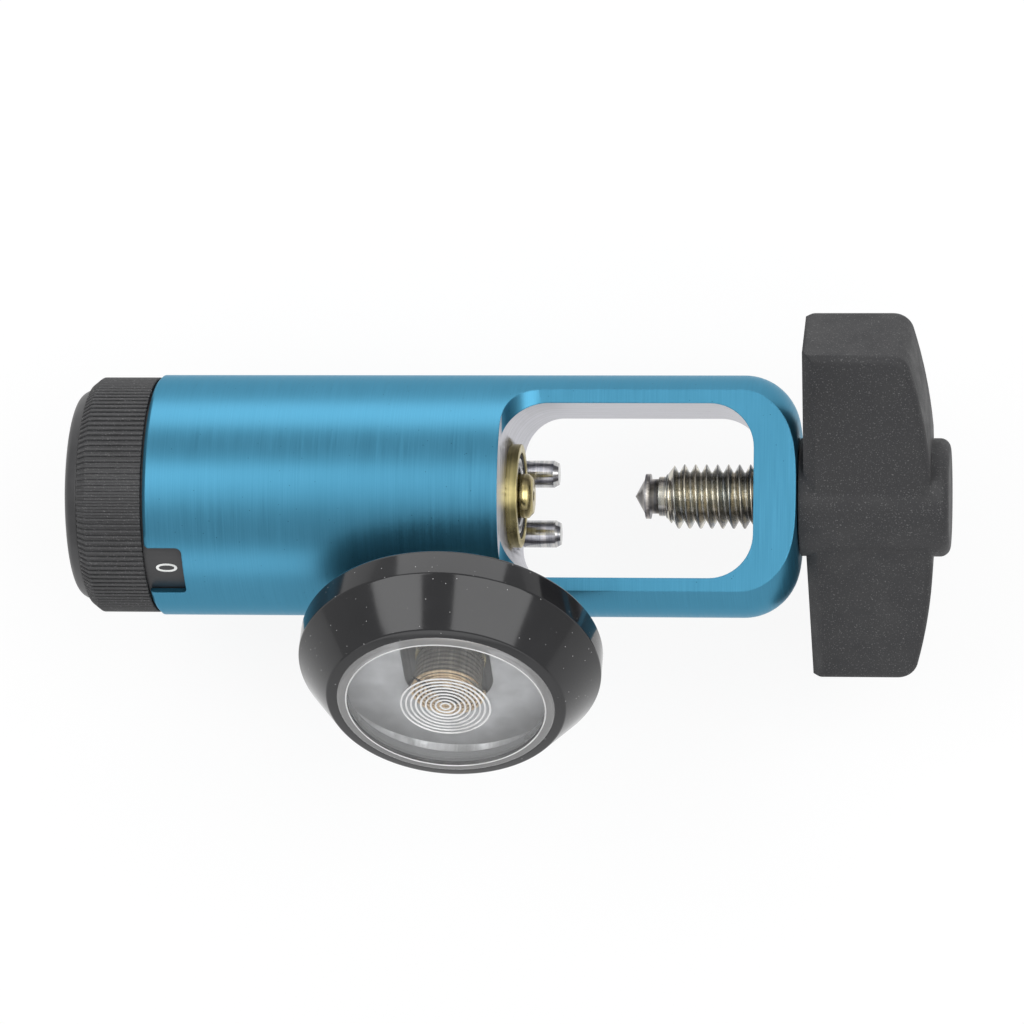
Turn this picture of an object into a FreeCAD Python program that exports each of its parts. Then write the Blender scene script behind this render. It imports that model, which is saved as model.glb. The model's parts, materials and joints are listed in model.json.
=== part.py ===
import FreeCAD, Part
import math
import os
import re

import Sketcher

# Oxygen regulator for pin-index cylinder valves.
# X runs along the bar from the selector knob to the T-handle, Y is across it and +Z is up.
# The origin is the centre of the seal's front face, where the cylinder valve presses.
# Stations along the bar are distances from that face, back towards the knob where they are negative.

SIZES = {
    # bar that the body is turned from
    "bar_radius": 17.4625,
    "bar_back": 52.7,
    "bar_front": 40.3,
    "nose_round": 8.0,
    "back_bevel": 0.5,
    # yoke window, milled flat and thread for the clamp screw
    "window_back": 1.6,
    "window_length": 35.85,
    "window_width": 25.0,
    "window_corner": 6.35,
    "flat_level": 9.8,
    "cutter_radius": 5.5,
    # clearances
    "running": 0.05,
    "fit": 0.03,
    "face_gap": 0.1,
    "handle_gap": 0.2,
    "knob_gap": 0.35,
    # bores from the back of the bar
    "skirt_wall": 1.0125,
    "sleeve_floor": 46.0,
    "plate_seat": 39.0,
    "chamber_end": 20.0,
    "nozzle_face": 14.0,
    "nozzle_radius": 1.2,
    "nozzle_land": 1.0,
    "supply_radius": 2.5,
    "inlet_depth": 5.6,
    "inlet_thread": 4.76,
    # index pins
    "pin_radius": 2.0,
    "pin_circle": 14.29,
    "pin_angle": 18.0,
    "upper_pin_reach": 3.9,
    "lower_pin_reach": 4.3,
    "pin_bury": 6.0,
    "pin_relief": 0.4,
    "neck_rise": 0.4,
    "pin_chamfer_along": 0.9,
    "pin_chamfer_across": 0.4,
    # seal and inlet
    "seal_radius": 7.5,
    "seal_wall": 1.25,
    "rubber_wall": 0.75,
    "rubber_recess": 0.15,
    "bush_wall": 1.35,
    "bush_recess": 0.3,
    "nipple_radius": 3.2,
    "nipple_relief": 0.2,
    "nipple_reach": 1.7,
    "nipple_round": 0.7,
    "nipple_bore": 0.8,
    "filter_radius": 2.0,
    "filter_length": 2.0,
    # clamp screw with its swivel point
    "screw_radius": 4.65,
    "screw_root": 3.55,
    "screw_bury": 17.0,
    "point_station": 16.5,
    "point_base": 2.8,
    "point_rise": 1.55,
    "collar_radius": 3.25,
    "point_collar": 0.7,
    "neck_radius": 2.5,
    "neck_length": 1.2,
    "screw_collar": 0.8,
    "screw_lead": 2.7,
    "pivot_radius": 1.5,
    "pivot_length": 4.0,
    # T-handle
    "handle_turn": 36.7,
    "wing_inner": 41.1,
    "wing_inner_end": 41.66,
    "wing_outer": 59.4,
    "wing_outer_end": 56.3,
    "wing_half": 27.0,
    "wing_thickness": 14.0,
    "wing_bow": 88.0,
    "wing_chamfer": 1.9,
    "wing_corner": 3.0,
    "wing_edge": 1.3,
    "hub_radius": 8.5,
    "hub_end": 61.9,
    "hub_edge": 1.5,
    # selector knob
    "knob_radius": 17.1,
    "knob_grip": 7.85,
    "knob_bevel_along": 1.3,
    "knob_bevel_across": 1.0,
    "rib_count": 124,
    "rib_depth": 0.3,
    "rib_width": 0.36,
    "knob_wall": 2.6,
    "knob_web": 1.8,
    "knob_hub": 5.5,
    "cap_crown": 4.8,
    "cap_shoulder_rise": 3.8,
    "cap_shoulder_radius": 10.8,
    "shoulder_bow": 6.35,
    "cap_wall": 1.2,
    "cap_skirt": 2.2,
    "nub_radius": 1.65,
    "nub_height": 0.35,
    "nub_offset": 3.0,
    "sleeve_gap": 0.15,
    "sleeve_wall": 1.0,
    "sleeve_seat": 2.2,
    "sleeve_end_gap": 0.3,
    "knob_screw_radius": 1.25,
    "knob_screw_head": 2.3,
    "knob_screw_head_height": 1.4,
    "knob_screw_length": 8.0,
    # index notch
    "notch_depth": 5.4,
    "notch_width": 8.45,
    "notch_angle": 45.0,
    "notch_corner": 0.9,
    # selector mechanism
    "spindle_radius": 4.0,
    "spindle_end_radius": 3.0,
    "oring_wire": 0.53,
    "spindle_shoulder": 54.5,
    "spindle_tail": 3.9,
    "oring_station": 43.2,
    "groove_play": 0.1,
    "disc_radius": 11.5,
    "disc_thickness": 2.0,
    "orifice_circle": 8.0,
    "orifice_step": 0.045,
    "orifice_count": 12,
    "detent_circle": 10.2,
    "dimple_radius": 0.75,
    "dimple_depth": 0.45,
    "plate_radius": 14.0,
    "plate_thickness": 5.9,
    "plate_port": 1.5,
    "plate_passage": 0.8,
    "ball_radius": 0.8,
    "ball_pocket_depth": 5.0,
    "ball_sink": 0.05,
    "clip_thickness": 0.6,
    "clip_inner": 12.6,
    "clip_groove": 14.9,
    "clip_opening": 8.0,
    # piston
    "piston_radius": 12.5,
    "piston_head": 5.0,
    "piston_stem": 4.0,
    "piston_back_gap": 0.9,
    "piston_passage": 1.0,
    "seat_lift": 0.9,
    "seat_radius": 2.2,
    "seat_thickness": 1.5,
    "seat_neck": 3.4,
    "seat_neck_length": 2.7,
    "cross_hole": 0.5,
    "cross_station": 17.2,
    "head_oring_wire": 0.9,
    "stem_oring_wire": 0.6,
    "head_oring_station": 33.5,
    "stem_oring_station": 18.6,
    # springs
    "main_spring_radius": 8.0,
    "main_spring_wire": 0.9,
    "main_spring_turns": 4.0,
    "main_spring_end_gap": 0.25,
    # outlet barb and relief valve on the underside
    "barb_station": 41.0,
    "barb_turn": -90.0,
    "barb_thread": 3.6,
    "barb_face": 16.8,
    "barb_collar": 4.7,
    "barb_collar_height": 1.1,
    "barb_flats": 9.5,
    "barb_hex_height": 4.0,
    "barb_root": 2.5,
    "barb_tip": 3.3,
    "barb_pitch": 3.6,
    "barb_count": 4,
    "barb_bore": 1.4,
    "relief_station": 37.9,
    "relief_turn": -52.0,
    "relief_port": 0.9,
    "relief_seat": 14.8,
    "relief_bore": 2.6,
    "relief_face": 17.0,
    "relief_head": 3.6,
    "relief_head_height": 3.6,
    "relief_inner": 2.0,
    "relief_roof": 1.0,
    "relief_vent": 0.7,
    "relief_ball_radius": 1.6,
    "relief_wire": 0.2,
    "relief_spring_radius": 1.2,
    "relief_turns": 3.0,
    "vent_station": 25.0,
    "vent_radius": 1.0,
    # contents gauge, measured out from the bar's axis
    "gauge_station": 7.94,
    "gauge_turn": 145.98,
    "gauge_port": 1.6,
    "gauge_thread": 4.2,
    "gauge_thread_floor": 8.0,
    "socket_flats": 9.0,
    "socket_hex_start": 17.9,
    "socket_neck": 3.0,
    "socket_block": 5.2,
    "socket_block_rise": 2.0,
    "socket_bore": 0.8,
    "case_back": 25.6,
    "case_front": 36.2,
    "case_radius": 18.0,
    "case_wall": 0.8,
    "boot_back": 24.6,
    "boot_back_wall": 0.1,
    "boot_back_hole": 7.0,
    "boot_wall": 3.5,
    "band_start": 27.3,
    "band_end": 29.8,
    "cone_end": 36.4,
    "cone_end_wall": 1.1,
    "lip_front": 38.0,
    "lip_overlap": 1.6,
    "lip_round": 3.2,
    "lens_front": 38.45,
    "lens_step": 1.33,
    "lens_edge": 0.8,
    "lens_top": 1.3,
    "lens_wall": 1.3,
    "lens_flange_height": 1.1,
    "dial_station": 31.6,
    "dial_thickness": 0.5,
    "dial_opening": 6.4,
    "coil_front": 35.1,
    "coil_turns": 7.0,
    "coil_radius": 4.6,
    "coil_thick": 0.36,
    "pointer_station": 35.45,
    "pointer_arbor": 0.6,
    "pointer_arbor_length": 3.0,
    "pointer_hub": 1.1,
    "pointer_length": 6.2,
    "pointer_tail": 2.2,
    "pointer_thickness": 0.3,
    "pointer_turn": -135.0,
}

WORD = re.compile(r"[a-z][a-z_]+")
RISE_TOLERANCE = 1e-9
SMALLEST_CUT = 1e-6

doc = FreeCAD.newDocument("oxygen_regulator")
dim = doc.addObject("Spreadsheet::Sheet", "dim")
for row, (alias, number) in enumerate(SIZES.items(), start=1):
    dim.set("A%d" % row, alias)
    dim.set("B%d" % row, str(number))
    dim.setAlias("B%d" % row, alias)
doc.recompute()

pieces = []


def bound(text):
    """Turns a size such as "bar_back - fit" into an expression on the sheet."""
    return WORD.sub(lambda word: "dim." + word[0] if word[0] in SIZES else word[0], text)


def value(text):
    """Gives the number that such a size has now."""
    return float(dim.evalExpression(bound(text)))


def new_body(label):
    body = doc.addObject("PartDesign::Body", label)
    body.Label = label
    pieces.append(body)
    return body


def place(piece, station, turn):
    """Stands a piece drawn along its own Y axis out from the bar at a station and an angle."""
    sideways = FreeCAD.Rotation(FreeCAD.Vector(1, 0, 0), 1)
    piece.Placement = FreeCAD.Placement(FreeCAD.Vector(0, 0, 0), sideways)
    piece.setExpression("Placement.Base.x", bound(station))
    piece.setExpression("Placement.Rotation.Angle", bound(turn))


def arc_edge(here, there, side, radius):
    """Gives an arc that turns left or right on its way between two points."""
    half = (there - here) / 2
    rise = math.sqrt(max(radius ** 2 - half.Length ** 2, RISE_TOLERANCE))
    left = FreeCAD.Vector(-half.y, half.x, 0).normalize()
    centre = here + half + left * (rise if side == "left" else -rise)
    first, last = (here, there) if side == "left" else (there, here)
    begin = math.atan2(first.y - centre.y, first.x - centre.x)
    finish = math.atan2(last.y - centre.y, last.x - centre.x)
    return Part.ArcOfCircle(Part.Circle(centre, FreeCAD.Vector(0, 0, 1), radius), begin, finish)


def bind(sketch, kind, text, *where):
    """Adds one dimension to a sketch and ties it to the sheet."""
    number = sketch.addConstraint(Sketcher.Constraint(kind, *where, value(text)))
    sketch.setExpression("Constraints[%d]" % number, bound(text))


def draw(sketch, corners):
    """Draws a closed outline through corners (across, up), where (across, up, side, radius)
    starts an arc that turns to that side."""
    points = [FreeCAD.Vector(value(corner[0]), value(corner[1]), 0) for corner in corners]
    edges = []
    for index, corner in enumerate(corners):
        here = points[index]
        there = points[(index + 1) % len(points)]
        if len(corner) == 2:
            edge = sketch.addGeometry(Part.LineSegment(here, there), False)
            edges.append((edge, 1, 2))
        else:
            edge = sketch.addGeometry(arc_edge(here, there, corner[2], value(corner[3])), False)
            edges.append((edge, 1, 2) if corner[2] == "left" else (edge, 2, 1))
    for index, corner in enumerate(corners):
        edge, first, last = edges[index]
        after, after_first, after_last = edges[(index + 1) % len(edges)]
        sketch.addConstraint(Sketcher.Constraint("Coincident", edge, last, after, after_first))
        for kind, axis, text in (("DistanceX", -2, corner[0]), ("DistanceY", -1, corner[1])):
            if text == "0":
                sketch.addConstraint(Sketcher.Constraint("PointOnObject", edge, first, axis))
            else:
                bind(sketch, kind, text, edge, first)
        if len(corner) > 2:
            bind(sketch, "Radius", corner[3], edge)


def draw_circle(sketch, across, up, radius):
    """Draws a circle with its centre at a point of the sketch."""
    middle = FreeCAD.Vector(value(across), value(up), 0)
    circle = Part.Circle(middle, FreeCAD.Vector(0, 0, 1), value(radius))
    edge = sketch.addGeometry(circle, False)
    for kind, axis, text in (("DistanceX", -2, across), ("DistanceY", -1, up)):
        if text == "0":
            sketch.addConstraint(Sketcher.Constraint("PointOnObject", edge, 3, axis))
        else:
            bind(sketch, kind, text, edge, 3)
    bind(sketch, "Radius", radius, edge)


def new_sketch(body, name, plane="XY_Plane", station="0", out="0", turn="0"):
    """Makes a sketch on an origin plane of its body, moved by a station along X, turned about X
    and then moved out along its own normal."""
    sketch = body.newObject("Sketcher::SketchObject", name)
    support = [item for item in body.Origin.OriginFeatures if item.Role == plane]
    sketch.AttachmentSupport = [(support[0], "")]
    sketch.MapMode = "FlatFace"
    if turn != "0":
        tilt = FreeCAD.Rotation(FreeCAD.Vector(1, 0, 0), 1)
        sketch.AttachmentOffset = FreeCAD.Placement(FreeCAD.Vector(0, 0, 0), tilt)
        sketch.setExpression("AttachmentOffset.Rotation.Angle", bound(turn))
    if station != "0":
        sketch.setExpression("AttachmentOffset.Base.x", bound(station))
    if out != "0":
        sketch.setExpression("AttachmentOffset.Base.z", bound(out))
    return sketch


def revolve(body, name, sketch, axis, kind="Revolution"):
    """Spins a sketch about one of its own axes, as a solid or as a cut."""
    feature = body.newObject("PartDesign::" + kind, name)
    feature.Profile = sketch
    feature.ReferenceAxis = (sketch, [axis])
    feature.Angle = 360
    body.Tip = feature
    return feature


def turned(body, name, corners, axis="H_Axis"):
    """Turns a solid from its half section, drawn beside the axis."""
    sketch = new_sketch(body, name + "_section")
    draw(sketch, corners)
    return revolve(body, name, sketch, axis)


def bored(body, name, corners, axis="H_Axis", station="0", turn="0"):
    """Bores a stepped hole, given as its half section, along the bar or out from it."""
    sketch = new_sketch(body, name + "_section", station=station, turn=turn)
    draw(sketch, corners)
    return cut_checked(body, lambda: revolve(body, name, sketch, axis, "Groove"))


def cut_checked(body, make):
    """Makes a cutting feature and refuses one that removes nothing."""
    doc.recompute()
    before = body.Shape.Volume
    feature = make()
    doc.recompute()
    if before - body.Shape.Volume < before * SMALLEST_CUT:
        raise RuntimeError(feature.Label + " removes nothing from " + body.Label)
    return feature


def pad(body, name, sketch, length, side="One side", reverse=False):
    feature = body.newObject("PartDesign::Pad", name)
    feature.Profile = sketch
    feature.SideType = side
    feature.Reversed = reverse
    feature.setExpression("Length", bound(length))
    body.Tip = feature
    return feature


def pocket(body, name, sketch, length, side="Symmetric", reverse=False):
    def make():
        feature = body.newObject("PartDesign::Pocket", name)
        feature.Profile = sketch
        feature.SideType = side
        feature.Reversed = reverse
        feature.setExpression("Length", bound(length))
        body.Tip = feature
        return feature
    return cut_checked(body, make)


def ring_pattern(body, name, feature, count, axis="X_Axis"):
    """Repeats a feature round the bar's axis."""
    support = [item for item in body.Origin.OriginFeatures if item.Role == axis]
    pattern = body.newObject("PartDesign::PolarPattern", name)
    pattern.Originals = [feature]
    pattern.Axis = (support[0], [""])
    pattern.Angle = 360
    pattern.setExpression("Occurrences", bound(count))
    body.Tip = pattern
    return pattern


def dress(body, name, kind, size, wanted):
    """Rounds or chamfers each edge of the body for which wanted(edge) is true."""
    doc.recompute()
    base = body.Tip
    names = ["Edge%d" % (i + 1) for i, edge in enumerate(base.Shape.Edges) if wanted(edge)]
    if not names:
        raise RuntimeError(name + " finds no edge on " + body.Label)
    feature = body.newObject("PartDesign::" + kind, name)
    feature.Base = (base, names)
    feature.setExpression("Radius" if kind == "Fillet" else "Size", bound(size))
    body.Tip = feature
    return feature


def hexagon(flats):
    """Gives the corners of a hexagon by its width across flats."""
    return [("%s / 2 / cos(30) * cos(%d)" % (flats, 60 * i), "%s / 2 / cos(30) * sin(%d)" % (flats, 60 * i))
            for i in range(6)]


def spring(label, start, end, radius, wire, turns, axis="H_Axis"):
    """Coils square wire along X, or along Y where the axis is V_Axis."""
    body = new_body(label)
    sketch = new_sketch(body, label + "_wire")
    near, far = start, "%s + 2 * %s" % (start, wire)
    inside, outside = "%s - %s" % (radius, wire), "%s + %s" % (radius, wire)
    section = [(near, inside), (far, inside), (far, outside), (near, outside)]
    if axis == "V_Axis":
        section = [(across, along) for along, across in section]
    draw(sketch, section)
    coil = body.newObject("PartDesign::AdditiveHelix", label + "_coil")
    coil.Profile = sketch
    coil.ReferenceAxis = (sketch, [axis])
    coil.Mode = "height-turns-growth"
    coil.setExpression("Height", bound("%s - (%s) - 2 * %s" % (end, start, wire)))
    coil.setExpression("Turns", bound(turns))
    body.Tip = coil
    return body


def ball(label, radius):
    """Makes a ball at the origin of its own frame."""
    sphere = doc.addObject("Part::Sphere", label)
    sphere.Label = label
    sphere.setExpression("Radius", bound(radius))
    pieces.append(sphere)
    return sphere


def ring(label, middle, radius, wire):
    """Makes an O-ring about the bar's axis."""
    body = new_body(label)
    sketch = new_sketch(body, label + "_section")
    draw_circle(sketch, "-(%s)" % middle, radius, wire)
    revolve(body, label + "_ring", sketch, "H_Axis")
    return body


def rounded_box(left, right, half_width, corner):
    """Gives the corners of a rounded rectangle that lies evenly about the X axis."""
    inner = "%s - %s" % (half_width, corner)
    return [
        ("%s + %s" % (left, corner), "-(%s)" % half_width),
        ("%s - %s" % (right, corner), "-(%s)" % half_width, "left", corner),
        (right, "-(%s)" % inner),
        (right, inner, "left", corner),
        ("%s - %s" % (right, corner), half_width),
        ("%s + %s" % (left, corner), half_width, "left", corner),
        (left, inner),
        (left, "-(%s)" % inner, "left", corner),
    ]


def turn_bar():
    """Turns the outside of the bar, whose front end is rounded."""
    body = new_body("yoke_body")
    turned(body, "bar", [
        ("-bar_back", "0"),
        ("-bar_back", "bar_radius - back_bevel"),
        ("back_bevel - bar_back", "bar_radius"),
        ("bar_front - nose_round", "bar_radius", "right", "nose_round"),
        ("bar_front", "bar_radius - nose_round"),
        ("bar_front", "0"),
    ])
    return body


def bore_chambers(body):
    """Bores the selector's seat, the piston's cylinder, the nozzle and the inlet along the axis."""
    groove_front = "-(plate_seat + plate_thickness)"
    groove_back = groove_front + " - clip_thickness - face_gap"
    bored(body, "bores", [
        ("-bar_back", "0"),
        ("-bar_back", "bar_radius - skirt_wall"),
        ("-sleeve_floor", "bar_radius - skirt_wall"),
        ("-sleeve_floor", "plate_radius"),
        (groove_back, "plate_radius"),
        (groove_back, "clip_groove"),
        (groove_front, "clip_groove"),
        (groove_front, "plate_radius"),
        ("-plate_seat", "plate_radius"),
        ("-plate_seat", "piston_radius + running"),
        ("-chamber_end", "piston_radius + running"),
        ("-chamber_end", "piston_stem + running"),
        ("-nozzle_face", "piston_stem + running"),
        ("-nozzle_face", "nozzle_radius"),
        ("nozzle_land - nozzle_face", "nozzle_radius"),
        ("nozzle_land - nozzle_face", "supply_radius"),
        ("-inlet_depth", "supply_radius"),
        ("-inlet_depth", "inlet_thread"),
        ("-window_back", "inlet_thread"),
        ("-window_back", "seal_radius + fit"),
        ("0", "seal_radius + fit"),
        ("0", "0"),
    ])


def mill_yoke(body):
    """Mills the window that goes over the cylinder valve, the flat above it and the index notch."""
    window = new_sketch(body, "window_outline")
    ends = ("-window_back", "window_length - window_back")
    draw(window, rounded_box(*ends, "window_width / 2", "window_corner"))
    pocket(body, "window", window, "2 * bar_radius")
    flat = new_sketch(body, "flat_outline", plane="XZ_Plane")
    draw(flat, [
        ("cutter_radius - window_back", "flat_level"),
        ("bar_front", "flat_level"),
        ("bar_front", "bar_radius"),
        ("-window_back", "bar_radius"),
        ("-window_back", "flat_level + cutter_radius", "left", "cutter_radius"),
    ])
    pocket(body, "milled_flat", flat, "2 * bar_radius")
    notch = new_sketch(body, "notch_outline", turn="notch_angle")
    notch_end = "notch_depth - bar_back"
    notch_start = "-bar_back - notch_depth"
    draw(notch, rounded_box(notch_start, notch_end, "notch_width / 2", "notch_corner"))
    notch.setExpression("AttachmentOffset.Base.y", bound("-bar_radius * sin(notch_angle)"))
    notch.setExpression("AttachmentOffset.Base.z", bound("bar_radius * cos(notch_angle)"))
    pocket(body, "index_notch", notch, "2 * skirt_wall", side="One side")


def drill_body(body):
    """Drills the holes for the clamp screw, the index pins and the fittings."""
    bored(body, "screw_thread", [
        ("window_length - window_back", "0"),
        ("window_length - window_back", "screw_radius + running"),
        ("bar_front", "screw_radius + running"),
        ("bar_front", "0"),
    ])
    for side, sign in (("upper", ""), ("lower", "-")):
        hole = new_sketch(body, side + "_pin_hole_outline", plane="YZ_Plane")
        across, up = sign + "pin_circle * sin(pin_angle)", "-pin_circle * cos(pin_angle)"
        draw_circle(hole, across, up, "pin_radius - pin_relief + fit")
        pocket(body, side + "_pin_hole", hole, "window_back + pin_bury", side="One side")
    bored(body, "gauge_port_hole", [
        ("0", "0"),
        ("gauge_port", "0"),
        ("gauge_port", "gauge_thread_floor"),
        ("gauge_thread", "gauge_thread_floor"),
        ("gauge_thread", "bar_radius"),
        ("0", "bar_radius"),
    ], "V_Axis", "-gauge_station", "gauge_turn")
    bored(body, "barb_hole", [
        ("0", "plate_radius - plate_port"),
        ("barb_thread", "plate_radius - plate_port"),
        ("barb_thread", "barb_face"),
        ("barb_collar + fit", "barb_face"),
        ("barb_collar + fit", "bar_radius"),
        ("0", "bar_radius"),
    ], "V_Axis", "-barb_station", "barb_turn")
    bored(body, "relief_hole", [
        ("0", "piston_radius - relief_port"),
        ("relief_port", "piston_radius - relief_port"),
        ("relief_port", "relief_seat"),
        ("relief_bore", "relief_seat"),
        ("relief_bore", "relief_face"),
        ("relief_head + fit", "relief_face"),
        ("relief_head + fit", "bar_radius"),
        ("0", "bar_radius"),
    ], "V_Axis", "-relief_station", "relief_turn")
    bored(body, "vent_hole", [
        ("0", "piston_radius - vent_radius"),
        ("vent_radius", "piston_radius - vent_radius"),
        ("vent_radius", "bar_radius"),
        ("0", "bar_radius"),
    ], "V_Axis", "-vent_station", "barb_turn")


def make_index_pins():
    """Makes the two steel pins that key the yoke to an oxygen cylinder's valve."""
    pins = []
    for side, sign in (("upper", ""), ("lower", "-")):
        body = doc.addObject("PartDesign::Body", side + "_pin")
        reach = side + "_pin_reach"
        turned(body, side + "_pin_turned", [
            ("-window_back - pin_bury", "0"),
            (reach, "0"),
            (reach, "pin_radius - pin_chamfer_across"),
            (reach + " - pin_chamfer_along", "pin_radius"),
            ("neck_rise - window_back", "pin_radius"),
            ("neck_rise - window_back", "pin_radius - pin_relief"),
            ("-window_back - pin_bury", "pin_radius - pin_relief"),
        ])
        body.setExpression("Placement.Base.y", bound(sign + "pin_circle * sin(pin_angle)"))
        body.setExpression("Placement.Base.z", bound("-pin_circle * cos(pin_angle)"))
        pins.append(body)
    pair = doc.addObject("Part::Compound", "index_pins")
    pair.Links = pins
    pieces.append(pair)


def washer(label, outer, inner, back, front):
    """Makes a flat ring about the bar's axis."""
    return turned(new_body(label), label + "_turned", [
        (back, inner),
        (front, inner),
        (front, outer),
        (back, outer),
    ])


def make_inlet():
    """Makes the seal rings round the inlet, and the nipple with its filter."""
    rubber_radius = "seal_radius - seal_wall"
    bush_radius = rubber_radius + " - rubber_wall"
    washer("seal_ring", "seal_radius", rubber_radius, "-window_back", "0")
    washer("seal_rubber", rubber_radius, bush_radius, "-window_back", "-rubber_recess")
    washer("inlet_bush", bush_radius, bush_radius + " - bush_wall", "-window_back", "-bush_recess")
    turned(new_body("inlet_nipple"), "nipple_turned", [
        ("-inlet_depth", "filter_radius"),
        ("filter_length - inlet_depth", "filter_radius"),
        ("filter_length - inlet_depth", "nipple_bore"),
        ("nipple_reach", "nipple_bore"),
        ("nipple_reach", "nipple_radius - nipple_round"),
        ("nipple_reach - nipple_round", "nipple_radius"),
        ("neck_rise - window_back", "nipple_radius"),
        ("neck_rise - window_back", "nipple_radius - nipple_relief"),
        ("-window_back", "nipple_radius - nipple_relief"),
        ("-window_back", "inlet_thread - fit"),
        ("-inlet_depth", "inlet_thread - fit"),
    ])
    turned(new_body("inlet_filter"), "filter_pressed", [
        ("-inlet_depth", "0"),
        ("filter_length - inlet_depth", "0"),
        ("filter_length - inlet_depth", "filter_radius - fit"),
        ("-inlet_depth", "filter_radius - fit"),
    ])


def make_clamp_screw():
    """Makes the swivel point, the screw that carries it and the T-handle."""
    collar_start = "point_station + point_rise"
    neck_start = collar_start + " + point_collar"
    screw_start = neck_start + " + neck_length"
    turned(new_body("screw_point"), "point_turned", [
        ("point_station", "0"),
        (screw_start + " + pivot_length", "0"),
        (screw_start + " + pivot_length", "pivot_radius"),
        (screw_start + " - face_gap", "pivot_radius"),
        (screw_start + " - face_gap", "neck_radius"),
        (neck_start, "neck_radius"),
        (neck_start, "collar_radius"),
        (collar_start, "collar_radius"),
        (collar_start, "point_base"),
    ])
    screw_end = "bar_front + handle_gap + screw_bury"
    pivot_end = screw_start + " + pivot_length + face_gap"
    turned(new_body("clamp_screw"), "screw_turned", [
        (screw_start, "pivot_radius + running"),
        (pivot_end, "pivot_radius + running"),
        (pivot_end, "0"),
        (screw_end, "0"),
        (screw_end, "screw_radius"),
        (screw_start + " + screw_collar + screw_lead", "screw_radius"),
        (screw_start + " + screw_collar", "screw_root"),
        (screw_start + " + screw_collar", "collar_radius"),
        (screw_start, "collar_radius"),
    ])


def make_handle():
    """Moulds the T-handle: two wings with a chamfered inner face, and the hub on the screw."""
    body = new_body("t_handle")
    plan = new_sketch(body, "wing_plan")
    draw(plan, [
        ("wing_inner", "0"),
        ("wing_inner_end", "-wing_half"),
        ("wing_outer_end", "-wing_half", "left", "wing_bow"),
        ("wing_outer", "-hub_radius"),
        ("wing_outer", "hub_radius", "left", "wing_bow"),
        ("wing_outer_end", "wing_half"),
        ("wing_inner_end", "wing_half"),
    ])
    pad(body, "wings", plan, "wing_thickness", side="Symmetric")
    half_thick = value("wing_thickness") / 2
    middle = (value("wing_inner_end") + value("wing_outer_end")) / 2

    def inner_edge(edge):
        return edge.CenterOfMass.x < middle and edge.BoundBox.XMax < middle and abs(edge.CenterOfMass.z) > 0

    def outer_corner(edge):
        upright = edge.BoundBox.ZLength > half_thick and edge.BoundBox.YLength < half_thick / 10
        return upright and edge.CenterOfMass.x > middle and abs(edge.CenterOfMass.y) > value("hub_radius") * 2

    def outer_rim(edge):
        flat = edge.BoundBox.ZLength < half_thick / 100 and abs(edge.CenterOfMass.z) > half_thick * 0.99
        return flat and edge.BoundBox.XMax > middle

    dress(body, "inner_chamfer", "Chamfer", "wing_chamfer", inner_edge)
    dress(body, "outer_corners", "Fillet", "wing_corner", outer_corner)
    dress(body, "outer_edges", "Fillet", "wing_edge", outer_rim)
    hub_face = "bar_front + handle_gap"
    turned(body, "hub", [
        (hub_face, "0"),
        ("hub_end", "0"),
        ("hub_end", "hub_radius - hub_edge", "left", "hub_edge"),
        ("hub_end - hub_edge", "hub_radius"),
        (hub_face, "hub_radius"),
    ])
    bored(body, "screw_socket", [
        (hub_face, "0"),
        (hub_face + " + screw_bury", "0"),
        (hub_face + " + screw_bury", "screw_radius + fit"),
        (hub_face, "screw_radius + fit"),
    ])
    place(body, "0", "handle_turn")


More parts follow.
